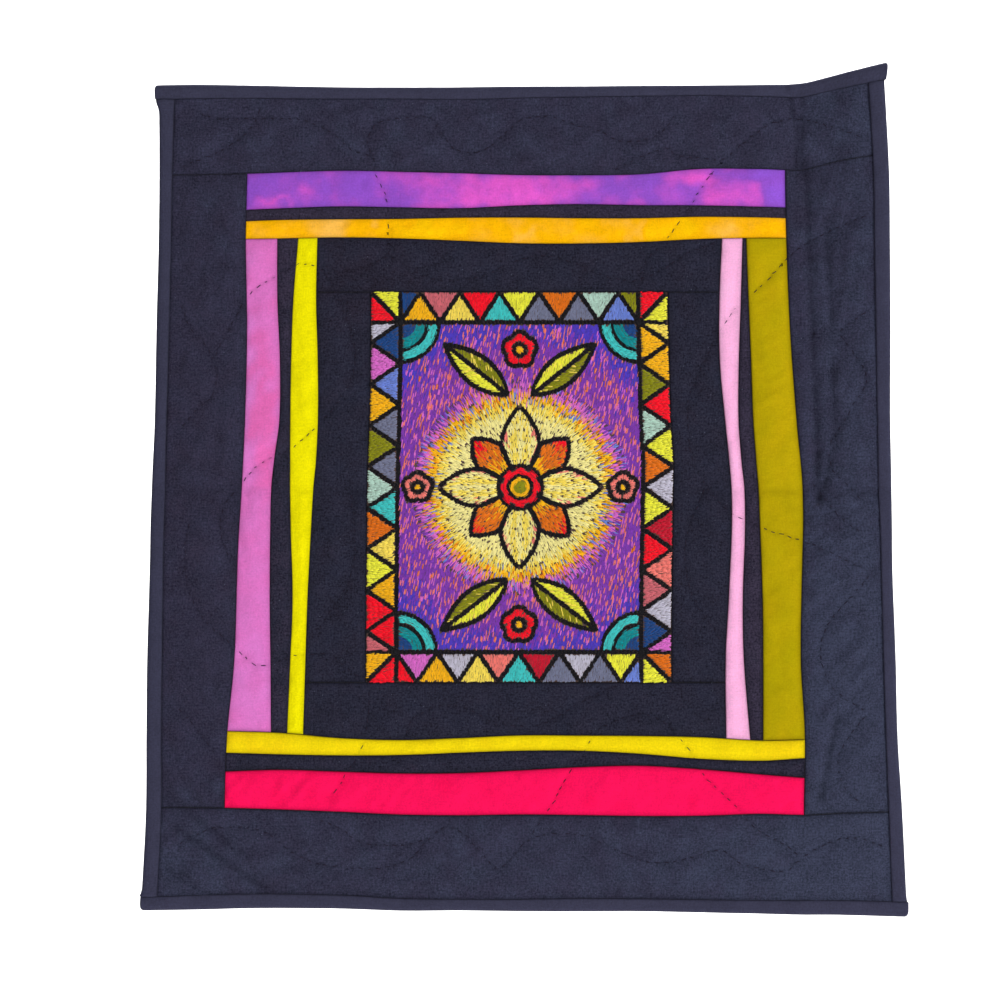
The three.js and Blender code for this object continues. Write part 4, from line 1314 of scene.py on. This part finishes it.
def region(u, v):
    """A number for the part of the design that each place belongs to."""
    r = np.hypot(u, v)
    found = np.where(r < HALO_END, REGIONS["halo"], REGIONS["ground"]) + 0 * r
    for i, leaf in enumerate(LEAVES):
        _, q, share = leaf_places(u, v, leaf)
        within = (np.abs(q) < leaf_half(leaf, share)) & (share > 0) & (share < 1)
        found = np.where(within, REGIONS["leaf"] + 2 * i + (q > 0), found)
    for name, petal in (("petal_low", PETALS[1]), ("petal", PETALS[0])):
        inside, which = in_petal(u, v, petal)
        found = np.where(inside, REGIONS[name] + which, found)
    found = np.where(r < HEART_RINGS[1], REGIONS["heart"] + 1, found)
    found = np.where(r < HEART_RINGS[0], REGIONS["heart"], found)
    for i, bloom in enumerate(BLOSSOMS):
        du, dv = u - bloom["u"], v - bloom["v"]
        away, turn = np.hypot(du, dv), np.arctan2(du, dv)
        found = np.where(away < rim_of(bloom, turn), REGIONS["blossom"] + 2 * i, found)
        found = np.where(away < bloom["heart"], REGIONS["blossom"] + 2 * i + 1, found)
    from_corner = np.hypot(FIELD_U - np.abs(u), FIELD_V - np.abs(v))
    quarter = 10 * ((u > 0) + 2 * (v > 0))
    for i, ring in reversed(list(enumerate(CORNER_RINGS))):
        found = np.where(from_corner < ring, REGIONS["corner"] + quarter + i, found)
    over_u, over_v = np.abs(u) - FIELD_U, np.abs(v) - FIELD_V
    which = zigzag(u, over_v, ZIG_ACROSS, 2 * FIELD_U)
    found = np.where(over_v > 0, REGIONS["edge_across"] + which + 100 * (v > 0), found)
    which = zigzag(v, over_u, ZIG_UP, 2 * FIELD_V)
    found = np.where(over_u > 0, REGIONS["edge_up"] + which + 100 * (u > 0), found)
    corner = (over_u > 0) & (over_v > 0)
    found = np.where(corner, REGIONS["edge_up"] + 300 + quarter + (over_u > over_v), found)
    return np.where((over_u > EDGE_BAND) | (over_v > EDGE_BAND), 0, found).astype(int)


def leaf_places(u, v, leaf):
    """Where points are along and across a leaf, and the share of its length."""
    du, dv = leaf["u1"] - leaf["u0"], leaf["v1"] - leaf["v0"]
    length = math.hypot(du, dv)
    p = ((u - leaf["u0"]) * du + (v - leaf["v0"]) * dv) / length
    q = (-(u - leaf["u0"]) * dv + (v - leaf["v0"]) * du) / length
    return p, q, p / length


def outlines():
    """The black lines between the parts of the design."""
    lines = []

    def ring(u, v, radius, start=0.0, end=2 * math.pi):
        turns = np.linspace(start, end, max(12, int(radius * (end - start) / 1.2)))
        return np.stack([u + radius * np.cos(turns), v + radius * np.sin(turns)], 1)

    def straight(*corners):
        for (u0, v0), (u1, v1) in zip(corners[:-1], corners[1:]):
            lines.append(np.array([(u0, v0), (u1, v1)], float))

    field = [(-FIELD_U, -FIELD_V), (FIELD_U, -FIELD_V), (FIELD_U, FIELD_V), (-FIELD_U, FIELD_V)]
    straight(*field, field[0])
    for side in (-1, 1):
        for count, length, edge, turned in ((ZIG_ACROSS, FIELD_U, FIELD_V, False), (ZIG_UP, FIELD_V, FIELD_U, True)):
            points = []
            for k in range(2 * count + 1):
                along, across = -length + k * length / count, side * (edge + (EDGE_BAND if k % 2 else 0))
                points.append((across, along) if turned else (along, across))
            straight(*points)
            for end in (-1, 1):
                inner, outer = (end * length, side * edge), (end * length, side * (edge + EDGE_BAND))
                if turned:
                    straight(inner[::-1], outer[::-1])
                else:
                    straight(inner, outer)
                    straight(inner, (end * (length + EDGE_BAND), outer[1]))
    for petal in PETALS:
        p = np.linspace(PETAL_FOOT - 1, petal["tip"], 40)
        for k in range(4):
            turn = petal["first"] + k * math.pi / 2
            for side in (-1, 1):
                q = side * petal_half(p, petal)
                line = np.stack([p * math.cos(turn) - q * math.sin(turn), p * math.sin(turn) + q * math.cos(turn)], 1)
                if petal is not PETALS[0]:
                    line = line[~in_petal(*line.T, PETALS[0])[0]]
                if len(line) > 3:
                    lines.append(line)
    lines += [ring(0, 0, radius) for radius in HEART_RINGS]
    for leaf in LEAVES:
        p = np.linspace(0, 1, 26)
        du, dv = leaf["u1"] - leaf["u0"], leaf["v1"] - leaf["v0"]
        long = math.hypot(du, dv)
        for side in (-1, 0, 1):
            q = side * leaf_half(leaf, p)
            lines.append(np.stack([leaf["u0"] + p * du - q * dv / long, leaf["v0"] + p * dv + q * du / long], 1))
    for bloom in BLOSSOMS:
        turns = np.linspace(0, 2 * math.pi, 60)
        rim = rim_of(bloom, turns)
        lines.append(np.stack([bloom["u"] + rim * np.sin(turns), bloom["v"] + rim * np.cos(turns)], 1))
        lines.append(ring(bloom["u"], bloom["v"], bloom["heart"]))
    for i, (side_u, side_v) in enumerate(((1, 1), (-1, 1), (-1, -1), (1, -1))):
        for radius in CORNER_RINGS[1:]:
            start = math.pi + i * math.pi / 2
            lines.append(ring(side_u * FIELD_U, side_v * FIELD_V, radius, start, start + math.pi / 2))
    return [Line(line, 0.8) for line in lines]


def straight_rows(rng, box, angle, pitch, length):
    """Centres and angles of stitches side by side in rows at an angle, over a box of half sizes."""
    reach = math.hypot(*box)
    rows = np.arange(-reach, reach, pitch)
    steps = np.arange(-reach, reach, length)
    across, along = np.meshgrid(rows, steps)
    along = along + rng.uniform(0, length, len(rows))[None, :]
    across, along = across.ravel(), along.ravel()
    u = along * math.cos(angle) - across * math.sin(angle)
    v = along * math.sin(angle) + across * math.cos(angle)
    return np.stack([u, v], 1), np.full(len(u), angle)


def ray_rows(rng, centre, reach, pitch, length):
    """Centres and angles of stitches that point away from a centre."""
    places, angles = [], []
    for k in range(int(reach / length) + 1):
        radius = (k + 0.5) * length
        count = max(6, int(2 * math.pi * radius / pitch))
        turns = (np.arange(count) + rng.uniform()) * 2 * math.pi / count
        far = radius + rng.uniform(-0.5, 0.5, count) * length
        places.append(np.stack([centre[0] + far * np.cos(turns), centre[1] + far * np.sin(turns)], 1))
        angles.append(turns)
    return np.concatenate(places), np.concatenate(angles)


def ring_rows(rng, centre, reach, pitch, length):
    """Centres and angles of stitches that run round a centre."""
    places, angles = [], []
    for radius in np.arange(pitch, reach, pitch):
        count = max(5, int(2 * math.pi * radius / length))
        turns = (np.arange(count) + rng.uniform()) * 2 * math.pi / count
        places.append(np.stack([centre[0] + radius * np.cos(turns), centre[1] + radius * np.sin(turns)], 1))
        angles.append(turns + math.pi / 2)
    return np.concatenate(places), np.concatenate(angles)


def choose(rng, share, *names):
    """Picks names so that each is likeliest near its own share from 0 to 1."""
    centres = np.linspace(0, 1, len(names))
    noisy = np.clip(share + rng.normal(0, 0.11, len(share)), 0, 1)
    return np.array(names, object)[np.abs(noisy[:, None] - centres).argmin(1)]


def thread_names(rng, label, u, v):
    """The thread of each stitch, by the part of the design that it is in."""
    r = np.hypot(u, v)
    kind, part = label // 1000, label % 1000
    names = np.full(len(label), "black", object)

    def put(name, values):
        mask = kind == REGIONS[name] // 1000
        names[mask] = values[mask]

    flecks = rng.uniform(0, 1, len(label))
    depth = np.clip((r - HALO_END) / 50, 0, 1)
    ground = choose(rng, depth * 0.8 + 0.1, "purple", "violet")
    near = 0.05 + 0.12 * (1 - depth)
    ground[flecks < near] = "salmon"
    ground[flecks > 1 - near * 0.7] = "orchid"
    ground[(flecks > 0.5) & (flecks < 0.52)] = "orange"
    put("ground", ground)
    light = (r - 40) / (HALO_END - 40)
    halo = choose(rng, light, "cream", "straw", "golden", "orchid", "purple")
    halo[(flecks < 0.10) & (light > 0.25)] = "periwinkle"
    halo[(flecks > 0.90) & (light > 0.35)] = "orange"
    put("halo", halo)
    for name, petal, tones in (
        ("petal", PETALS[0], ("cream", "straw", "cream", "salmon")),
        ("petal_low", PETALS[1], ("golden", "orange", "red")),
    ):
        p, q, _ = petal_places(u, v, petal)
        edge = np.abs(q) / np.maximum(petal_half(p, petal), 0.1)
        share = edge if name == "petal" else (p - PETAL_FOOT) / (petal["tip"] - PETAL_FOOT)
        put(name, choose(rng, np.clip(share, 0, 1), *tones))
    heart = np.where(part == 0, choose(rng, r / HEART_RINGS[0], "olive", "golden"), "red")
    heart[(part == 1) & (flecks < 0.2)] = "crimson"
    put("heart", heart)
    leaf_tone = np.where(part % 2 == 0, "olive", "lime").astype(object)
    leaf_tone[flecks < 0.12] = "straw"
    put("leaf", leaf_tone)
    put("blossom", np.where(part % 2 == 0, np.where(part < 4, "red", "salmon"), "golden").astype(object))
    put("corner", np.array(("navy", "teal", "turquoise"), object)[np.clip(part % 10, 0, 2)])
    edge_names = np.array(EDGE_COLOURS, object)
    for name in ("edge_across", "edge_up"):
        side = part // 100
        put(name, edge_names[(part % 100 * 4 + side * 7 + (name == "edge_up") * 3) % len(edge_names)])
    return names


def stitch_plans(rng, pitch, length):
    """Rows of stitches, each with the first and the last number of the parts that they fill."""
    plans = [
        ("ground", "ground", straight_rows(rng, WHOLE, math.radians(78), pitch, length)),
        ("halo", "petal_low", ray_rows(rng, (0, 0), HALO_END + 2, pitch * 0.88, length)),
        ("heart", "heart", ring_rows(rng, (0, 0), HEART_RINGS[1], pitch, length * 0.7)),
        ("edge_across", "edge_across", straight_rows(rng, WHOLE, math.radians(86), pitch, length)),
        ("edge_up", "edge_up", straight_rows(rng, WHOLE, math.radians(8), pitch, length)),
    ]
    plans = [(REGIONS[first], REGIONS[last] + 999, rows) for first, last, rows in plans]

    def add(name, part, rows):
        plans.append((REGIONS[name] + part, REGIONS[name] + part, rows))

    for i, leaf in enumerate(LEAVES):
        way = math.atan2(leaf["v1"] - leaf["v0"], leaf["u1"] - leaf["u0"])
        for half, turn in ((0, -0.7), (1, 0.7)):
            add("leaf", 2 * i + half, straight_rows(rng, WHOLE, way + turn, pitch, length))
    for i, bloom in enumerate(BLOSSOMS):
        for part in (0, 1):
            rows = ray_rows(rng, (bloom["u"], bloom["v"]), bloom["radius"], pitch, length * 0.8)
            add("blossom", 2 * i + part, rows)
    for side_u in (-1, 1):
        for side_v in (-1, 1):
            rows = ring_rows(rng, (side_u * FIELD_U, side_v * FIELD_V), CORNER_RINGS[-1], pitch, length)
            for ring in range(len(CORNER_RINGS)):
                add("corner", 10 * ((side_u > 0) + 2 * (side_v > 0)) + ring, rows)
    return plans


def filling(rng, plan, length, from_outline):
    """The stitches of a plan that lie in its parts, each cut back where it would leave its own."""
    first, last, (places, angles) = plan
    angles = angles + rng.normal(0, 0.07, len(angles))
    places = places + rng.normal(0, 0.08, places.shape)
    lengths = length * rng.uniform(1.12, 1.38, len(angles))
    edge = OUTLINE_HALF * rng.uniform(0.35, 1.0, len(angles))
    way = np.stack([np.cos(angles), np.sin(angles)], 1)
    label = region(*places.T)

    def reach(side):
        reached, going = np.full(len(places), MARKS[0]), True
        for mark in MARKS[1:]:
            at = places + way * (side * mark * lengths)[:, None]
            there = region(*at.T)
            same = (there == label) | (np.isin(there, OPEN_FIELD) & np.isin(label, OPEN_FIELD))
            going = going & same & (from_outline(*at.T) > edge)
            reached = np.where(going, mark, reached)
        return reached

    back, ahead = reach(-1), reach(1)
    keep = (label >= first) & (label <= last) & (from_outline(*places.T) > edge) & (back + ahead > SHORTEST)
    places = places + way * ((ahead - back) / 2 * lengths)[:, None]
    return places[keep], angles[keep], (lengths * (back + ahead))[keep], label[keep]


def outline_row(rng, line, aside):
    """A row of black stitches along a line of the design."""
    at = np.arange(rng.uniform(0.3, 1.2), line.length, OUTLINE_PITCH)
    angles = line.angle(at)
    places = line.place(at) + aside * np.stack([-np.sin(angles), np.cos(angles)], 1)
    lengths = rng.uniform(2.1, 2.7, len(at))
    keep = (np.abs(places) < np.array(WHOLE) - 0.5).all(1)
    return places[keep], angles[keep], lengths[keep], np.zeros(keep.sum(), int)


def embroidery():
    """All stitches of the design: places, angles, lengths and thread names."""
    rng = np.random.default_rng(77)
    pitch, length = sizes().thread_pitch / MM, sizes().thread_length / MM
    raster = Raster(-WHOLE[0] - 1, WHOLE[0] + 1, -WHOLE[1] - 1, WHOLE[1] + 1, 0.4)
    lines = outlines()
    from_outline = functools.partial(raster.read, raster.from_lines(lines, 3)[0])
    found = [filling(rng, plan, length, from_outline) for plan in stitch_plans(rng, pitch, length)]
    found += [outline_row(rng, line, aside) for line in lines for aside in OUTLINE_ROWS]
    places, angles, lengths, label = (np.concatenate(part) for part in zip(*found))
    return places, angles, lengths, thread_names(rng, label, *places.T)


def on_panel(places):
    """Places of the design as places on the hanging."""
    z = (PANEL_HEAD + PANEL_FOOT) / 2 + places[:, 1]
    left, right = UPRIGHTS["panel_left"](z), UPRIGHTS["panel_right"](z)
    return np.stack([left + (places[:, 0] / PANEL_WIDE + 0.5) * (right - left), z], 1)


def panel_height(x, z):
    """The height of the panel's cloth, which lies flatter than the rest because the stitches stiffen it."""
    middle = (PANEL_HEAD + PANEL_FOOT) / 2
    inside = np.minimum.reduce([
        x - UPRIGHTS["panel_left"](z),
        UPRIGHTS["panel_right"](z) - x,
        PANEL_TALL / 2 - np.abs(z - middle),
    ])
    uneven = 0.12 * waves(8, x, z, 24, count=10)
    return PANEL_TOP + (0.30 + uneven) * (1 - bell(np.maximum(inside, 0), 6))


# The operators


class HangingOperator:
    """What the operators share."""

    bl_options = {"REGISTER", "UNDO"}


@functools.cache
def cloths():
    """The material slot, the colours and the finish of each cloth."""
    c = colours()
    dark = {
        "slub": 0.34, "lint": 0.7, "mottle": 0.24, "speckle": 2.1, "feather": 1.6, "feather_size": 2.6, "sheen": 0.08
    }
    black = {**dark, "slub": 0.42, "lint": 0.9, "speckle": 2.8}
    fine = {"slub": 0.09, "mottle": 0.06, "speckle": 0.45}
    return {
        # The border's second colour, slate, is painted sheen.
        "border": ("border_cloth", cloth_material("border_cotton", c.border, c.slate, c.plum, **dark)),
        "inner": ("black_cloth", cloth_material("black_cotton", c.inner, c.coal, c.umber, **black)),
        "gap": ("black_cloth", cloth_material("gap_cotton", c.gap, c.inner, **black)),
        "purple": ("purple_cloth", cloth_material("purple_cotton", c.purple, c.magenta, c.violet, **fine)),
        "orange": ("orange_cloth", cloth_material("orange_cotton", c.orange, c.apricot, c.saffron, **fine)),
        "orchid": ("orchid_cloth", cloth_material("orchid_cotton", c.orchid, c.rose, c.lilac, **fine)),
        "lemon": ("lemon_cloth", cloth_material("lemon_cotton", c.lemon, **fine)),
        "pink": ("pink_cloth", cloth_material("pink_cotton", c.pink, c.shell, **fine)),
        "olive": ("olive_cloth", cloth_material("olive_cotton", c.olive, c.brass, c.moss, **fine)),
        "gold": ("gold_cloth", cloth_material("gold_cotton", c.gold, c.amber, **fine)),
        "crimson": ("crimson_cloth", cloth_material("crimson_cotton", c.crimson, c.ruby, **fine)),
        "ground": ("stitched_cloth", cloth_material("ground_cotton", GROUND_COLOUR)),
    }


def make_patches(*wanted):
    """Makes every piece of the wanted cloths."""
    for name, row in PIECES.items():
        if row["cloth"] in wanted:
            make_patch(name)


class HANGING_OT_core(HangingOperator, bpy.types.Operator):
    """Make the wadding and its backing cloth, quilted together"""

    bl_idname = "hanging.core"
    bl_label = "Padded core"

    def execute(self, context):
        quilt = quilting()
        patch = patch_of(CORE, sizes().back_cell / MM)
        x, z = patch.x, patch.z
        padded = BACK_LOFT * quilt.read("loft", x, z) * (0.2 + 0.8 * (1 - quilt.read("groove", x, z)))
        padded = padded + 0.8 * quilt.read("fine", x, z) + 0.1
        behind = np.minimum(CORE_BACK + (1 - bell(patch.open, SEAM_REACH)) * padded, CORE_BACK_LIMIT)
        bent = bend(x, z)
        points = np.stack([np.stack([x, y, z], -1) for y in (bent - CORE_FRONT, bent + behind)]).reshape(-1, 3)
        rim = grid_rim(*patch.shape)
        after = np.roll(rim, -1)
        front = grid_faces(*patch.shape)
        walls = np.stack([rim, rim + x.size, after + x.size, after], 1)
        all_faces = np.concatenate([front, front[:, ::-1] + x.size, walls])
        flat = np.concatenate([patch.flat.reshape(-1, 2)] * 2)
        # Painted shade along the quilting lines of the back and in its sharp folds.
        lines = BACK_LINE_SHADE * bell(quilt.read("nearest", x, z), BACK_LINE_SHADE_REACH)
        ditch = np.concatenate([np.zeros(x.size), np.minimum(1, lines + 0.5 * crease(x, z)).ravel()])
        material = cloth_material("backing_cotton", colours().back, slub=0.2, lint=0.25, mottle=0.2, speckle=0.8)
        piece = make_mesh("padded_core_quilt", points, all_faces, material, flat, {"dye_and_painted_sheen": 0 * ditch, "groove": ditch})
        fit(piece, "backing_cloth", "padded_core")
        return {"FINISHED"}


class HANGING_OT_borders(HangingOperator, bpy.types.Operator):
    """Make the four border pieces"""

    bl_idname = "hanging.borders"
    bl_label = "Borders"

    def execute(self, context):
        make_patches("border")
        return {"FINISHED"}


class HANGING_OT_black_pieces(HangingOperator, bpy.types.Operator):
    """Make the black frame round the panel and the black strips between the coloured ones"""

    bl_idname = "hanging.black_pieces"
    bl_label = "Black pieces"

    def execute(self, context):
        make_patches("inner", "gap")
        return {"FINISHED"}


class HANGING_OT_strips(HangingOperator, bpy.types.Operator):
    """Make the coloured strips"""

    bl_idname = "hanging.strips"
    bl_label = "Coloured strips"

    def execute(self, context):
        make_patches("purple", "orange", "orchid", "lemon", "pink", "olive", "gold", "crimson")
        return {"FINISHED"}


class HANGING_OT_bindings(HangingOperator, bpy.types.Operator):
    """Make the four strips that bind the edge"""

    bl_idname = "hanging.bindings"
    bl_label = "Bindings"

    def execute(self, context):
        material = cloth_material("binding_cotton", colours().binding, slub=0.15, lint=0.4, mottle=0.12, speckle=0.7)
        for row in BINDINGS_ACROSS:
            make_binding(row, across_at, row["right_seam"] - row["left_seam"], True, material)
        for row in BINDINGS_UP:
            make_binding(row, up_at, float(np.ptp(up_at(row, np.array([0.0, 1.0]), 0.0)[1])), False, material)
        return {"FINISHED"}


class HANGING_OT_panel(HangingOperator, bpy.types.Operator):
    """Make the panel's cloth and its embroidery"""

    bl_idname = "hanging.panel"
    bl_label = "Embroidered panel"

    def execute(self, context):
        slot, material = cloths()["ground"]
        patch = patch_of(PIECES["stitched_panel"], 2 * sizes().cloth_cell / MM)
        height = np.where(patch.shown, panel_height(patch.x, patch.z), CLOTH_TOP) - patch.drop
        values = {"dye_and_painted_sheen": 0 * patch.x, "groove": painted_shade_of(patch)}
        piece = patch.build("stitched_panel_cloth", height, material, values)
        fit(piece, slot, "stitched_panel")
        flat, area = patch.flat_size()
        places, angles, lengths, names = embroidery()
        places = on_panel(places)
        width = sizes().thread_width / MM
        for i, (name, levels) in enumerate(THREADS.items()):
            mask = names == name
            if mask.any():
                material = thread_material(name + "_thread", tuple(level / 255 for level in levels))
                stitches = places[mask], angles[mask], lengths[mask]
                piece = threads("embroidery_" + name, *stitches, width, panel_height, material, 500 + i)
                fit(piece, slot, "stitched_panel")
        return {"FINISHED"}


class HANGING_OT_quilting(HangingOperator, bpy.types.Operator):
    """Make the running stitches of the hand quilting, in front and behind"""

    bl_idname = "hanging.quilting"
    bl_label = "Hand quilting"

    def execute(self, context):
        quilt = quilting()
        material = thread_material("quilting_thread", tuple(colours().quilting), 0.85, 0.08)
        width = sizes().quilting_thread / MM

        def front(x, z):
            return CLOTH_TOP + quilt.read("fine", x, z) + 0.12

        def behind(x, z):
            return np.minimum(CORE_BACK + 0.2 + 0.7 * quilt.read("fine", x, z), CORE_BACK_LIMIT) + 0.10

        stitches = quilt.places, quilt.angles, quilt.lengths
        piece = threads("quilting_front", *stitches, width, front, material, 61)
        fit(piece, "border_cloth", "border_top")
        places, angles = [], []
        pitch = sizes().stitch_pitch / MM
        for line in quilt.lines:
            at = np.arange(pitch * 1.1, line.length - 1, pitch)
            places.append(line.place(at))
            angles.append(line.angle(at))
        places, angles = np.concatenate(places), np.concatenate(angles)
        lengths = np.full(len(angles), sizes().stitch_length / MM * 0.8)
        piece = threads("quilting_back", places, angles, lengths, width, behind, material, 62, back=True)
        fit(piece, "backing_cloth", "padded_core")
        return {"FINISHED"}


# The stage, in metres: a pale floor that rises in a round to a wall, the lamps and the camera.
FLOOR = {"level": -1.15, "front": -5.0, "wall": 3.1, "round": 0.5, "wide": 13.0, "long": 13.0, "rows": 90}
FRONT_AIM = (0, 0, -0.23)
LAMPS = rows_of(
    ("name", "place", "size", "watts", "aim"),
    [
        ("key_light", (3.0, -2.9, 1.2), 1.3, 129.0, FRONT_AIM),
        ("fill_light", (-2.8, -2.6, 0.0), 2.0, 21.0, FRONT_AIM),
        ("wall_light", (0.0, 1.5, 2.3), 2.6, 225.0, (0, FLOOR["wall"], -0.3)),
    ],
)
SKY_STRENGTH = 0.155
# The camera stands straight in front, and the cloth's front lies a little before the middle of its depth.
CAMERA = {"x": -11.48, "z": -231.84, "lens": 85, "sensor": 36, "seen": 0.56, "closer": 0.0015, "near": 0.05, "far": 60}


def make_floor():
    """A plain floor, bent up to a wall behind, as stage."""
    deselect()
    bpy.ops.mesh.primitive_grid_add(x_subdivisions=2, y_subdivisions=FLOOR["rows"], size=1, location=(0, 0, 0))
    floor = bpy.context.active_object
    floor.name = "floor"
    start = FLOOR["wall"] - FLOOR["round"]
    for point in floor.data.vertices:
        along = (point.co.y + 0.5) * FLOOR["long"] + FLOOR["front"]
        turn = min(max((along - start) / FLOOR["round"], 0), math.pi / 2)
        up_wall = max(0, along - start - FLOOR["round"] * math.pi / 2)
        y = min(along, start) + FLOOR["round"] * math.sin(turn)
        point.co = (point.co.x * FLOOR["wide"], y, FLOOR["level"] + FLOOR["round"] * (1 - math.cos(turn)) + up_wall)
    floor.data.shade_smooth()
    shader = Shader("pale_floor")
    tone = 0.93 + (shader.noise(shader.place(), 900, 1.0) - 0.5) * 0.01
    white = shader.scaled(shader.solid((1.0, 1.0, 1.0)), tone)
    floor.data.materials.append(shader.finish(white, None, roughness=0.95, specular=0.1))


class HANGING_OT_stage(HangingOperator, bpy.types.Operator):
    """Make the floor, the lights and the camera"""

    bl_idname = "hanging.stage"
    bl_label = "Stage"

    def execute(self, context):
        scene = context.scene
        scene.view_settings.view_transform = "Standard"
        make_floor()
        scene.world = bpy.data.worlds.new("studio")
        scene.world.use_nodes = True
        sky = scene.world.node_tree.nodes["Background"].inputs
        sky["Color"].default_value = (1, 1, 1, 1)
        sky["Strength"].default_value = SKY_STRENGTH
        for lamp in LAMPS:
            data = bpy.data.lights.new(lamp["name"], "AREA")
            data.size, data.energy = lamp["size"], lamp["watts"]
            made = bpy.data.objects.new(lamp["name"], data)
            made.location = lamp["place"]
            made.rotation_euler = (Vector(lamp["aim"]) - made.location).to_track_quat("-Z", "Y").to_euler()
            scene.collection.objects.link(made)
        data = bpy.data.cameras.new("camera")
        data.lens, data.sensor_width = CAMERA["lens"], CAMERA["sensor"]
        data.clip_start, data.clip_end = CAMERA["near"], CAMERA["far"]
        camera = bpy.data.objects.new("camera", data)
        away = CAMERA["seen"] * data.lens / data.sensor_width + CAMERA["closer"]
        camera.location = (CAMERA["x"] * MM, -away, CAMERA["z"] * MM)
        camera.rotation_euler = (math.pi / 2, 0, 0)
        scene.collection.objects.link(camera)
        scene.camera = camera
        return {"FINISHED"}


class HANGING_PT_panel(bpy.types.Panel):
    """Sidebar panel of the hanging"""

    bl_idname = "HANGING_PT_panel"
    bl_label = "Quilted wall hanging"
    bl_space_type = "VIEW_3D"
    bl_region_type = "UI"
    bl_category = "Hanging"

    def draw(self, context):
        for settings in (context.scene.hanging_sizes, context.scene.hanging_colours):
            box = self.layout.box()
            for name in settings.__annotations__:
                box.prop(settings, name)
        for operator in OPERATORS:
            self.layout.operator(operator.bl_idname)


OPERATORS = (
    HANGING_OT_stage,
    HANGING_OT_core,
    HANGING_OT_borders,
    HANGING_OT_black_pieces,
    HANGING_OT_strips,
    HANGING_OT_bindings,
    HANGING_OT_panel,
    HANGING_OT_quilting,
)
CLASSES = (HangingSizes, HangingColours, *OPERATORS, HANGING_PT_panel)


def register():
    """Makes the settings, the operators and the panel known to Blender."""
    for cls in CLASSES:
        bpy.utils.register_class(cls)
    bpy.types.Scene.hanging_sizes = bpy.props.PointerProperty(type=HangingSizes)
    bpy.types.Scene.hanging_colours = bpy.props.PointerProperty(type=HangingColours)


def unregister():
    """Takes them out again."""
    del bpy.types.Scene.hanging_colours
    del bpy.types.Scene.hanging_sizes
    for cls in reversed(CLASSES):
        bpy.utils.unregister_class(cls)


def main():
    """Makes the whole hanging on its stage."""
    register()
    bpy.ops.hanging.stage()
    bpy.ops.hanging.core()
    bpy.ops.hanging.borders()
    bpy.ops.hanging.black_pieces()
    bpy.ops.hanging.strips()
    bpy.ops.hanging.bindings()
    bpy.ops.hanging.panel()
    bpy.ops.hanging.quilting()


if __name__ == "__main__":
    main()
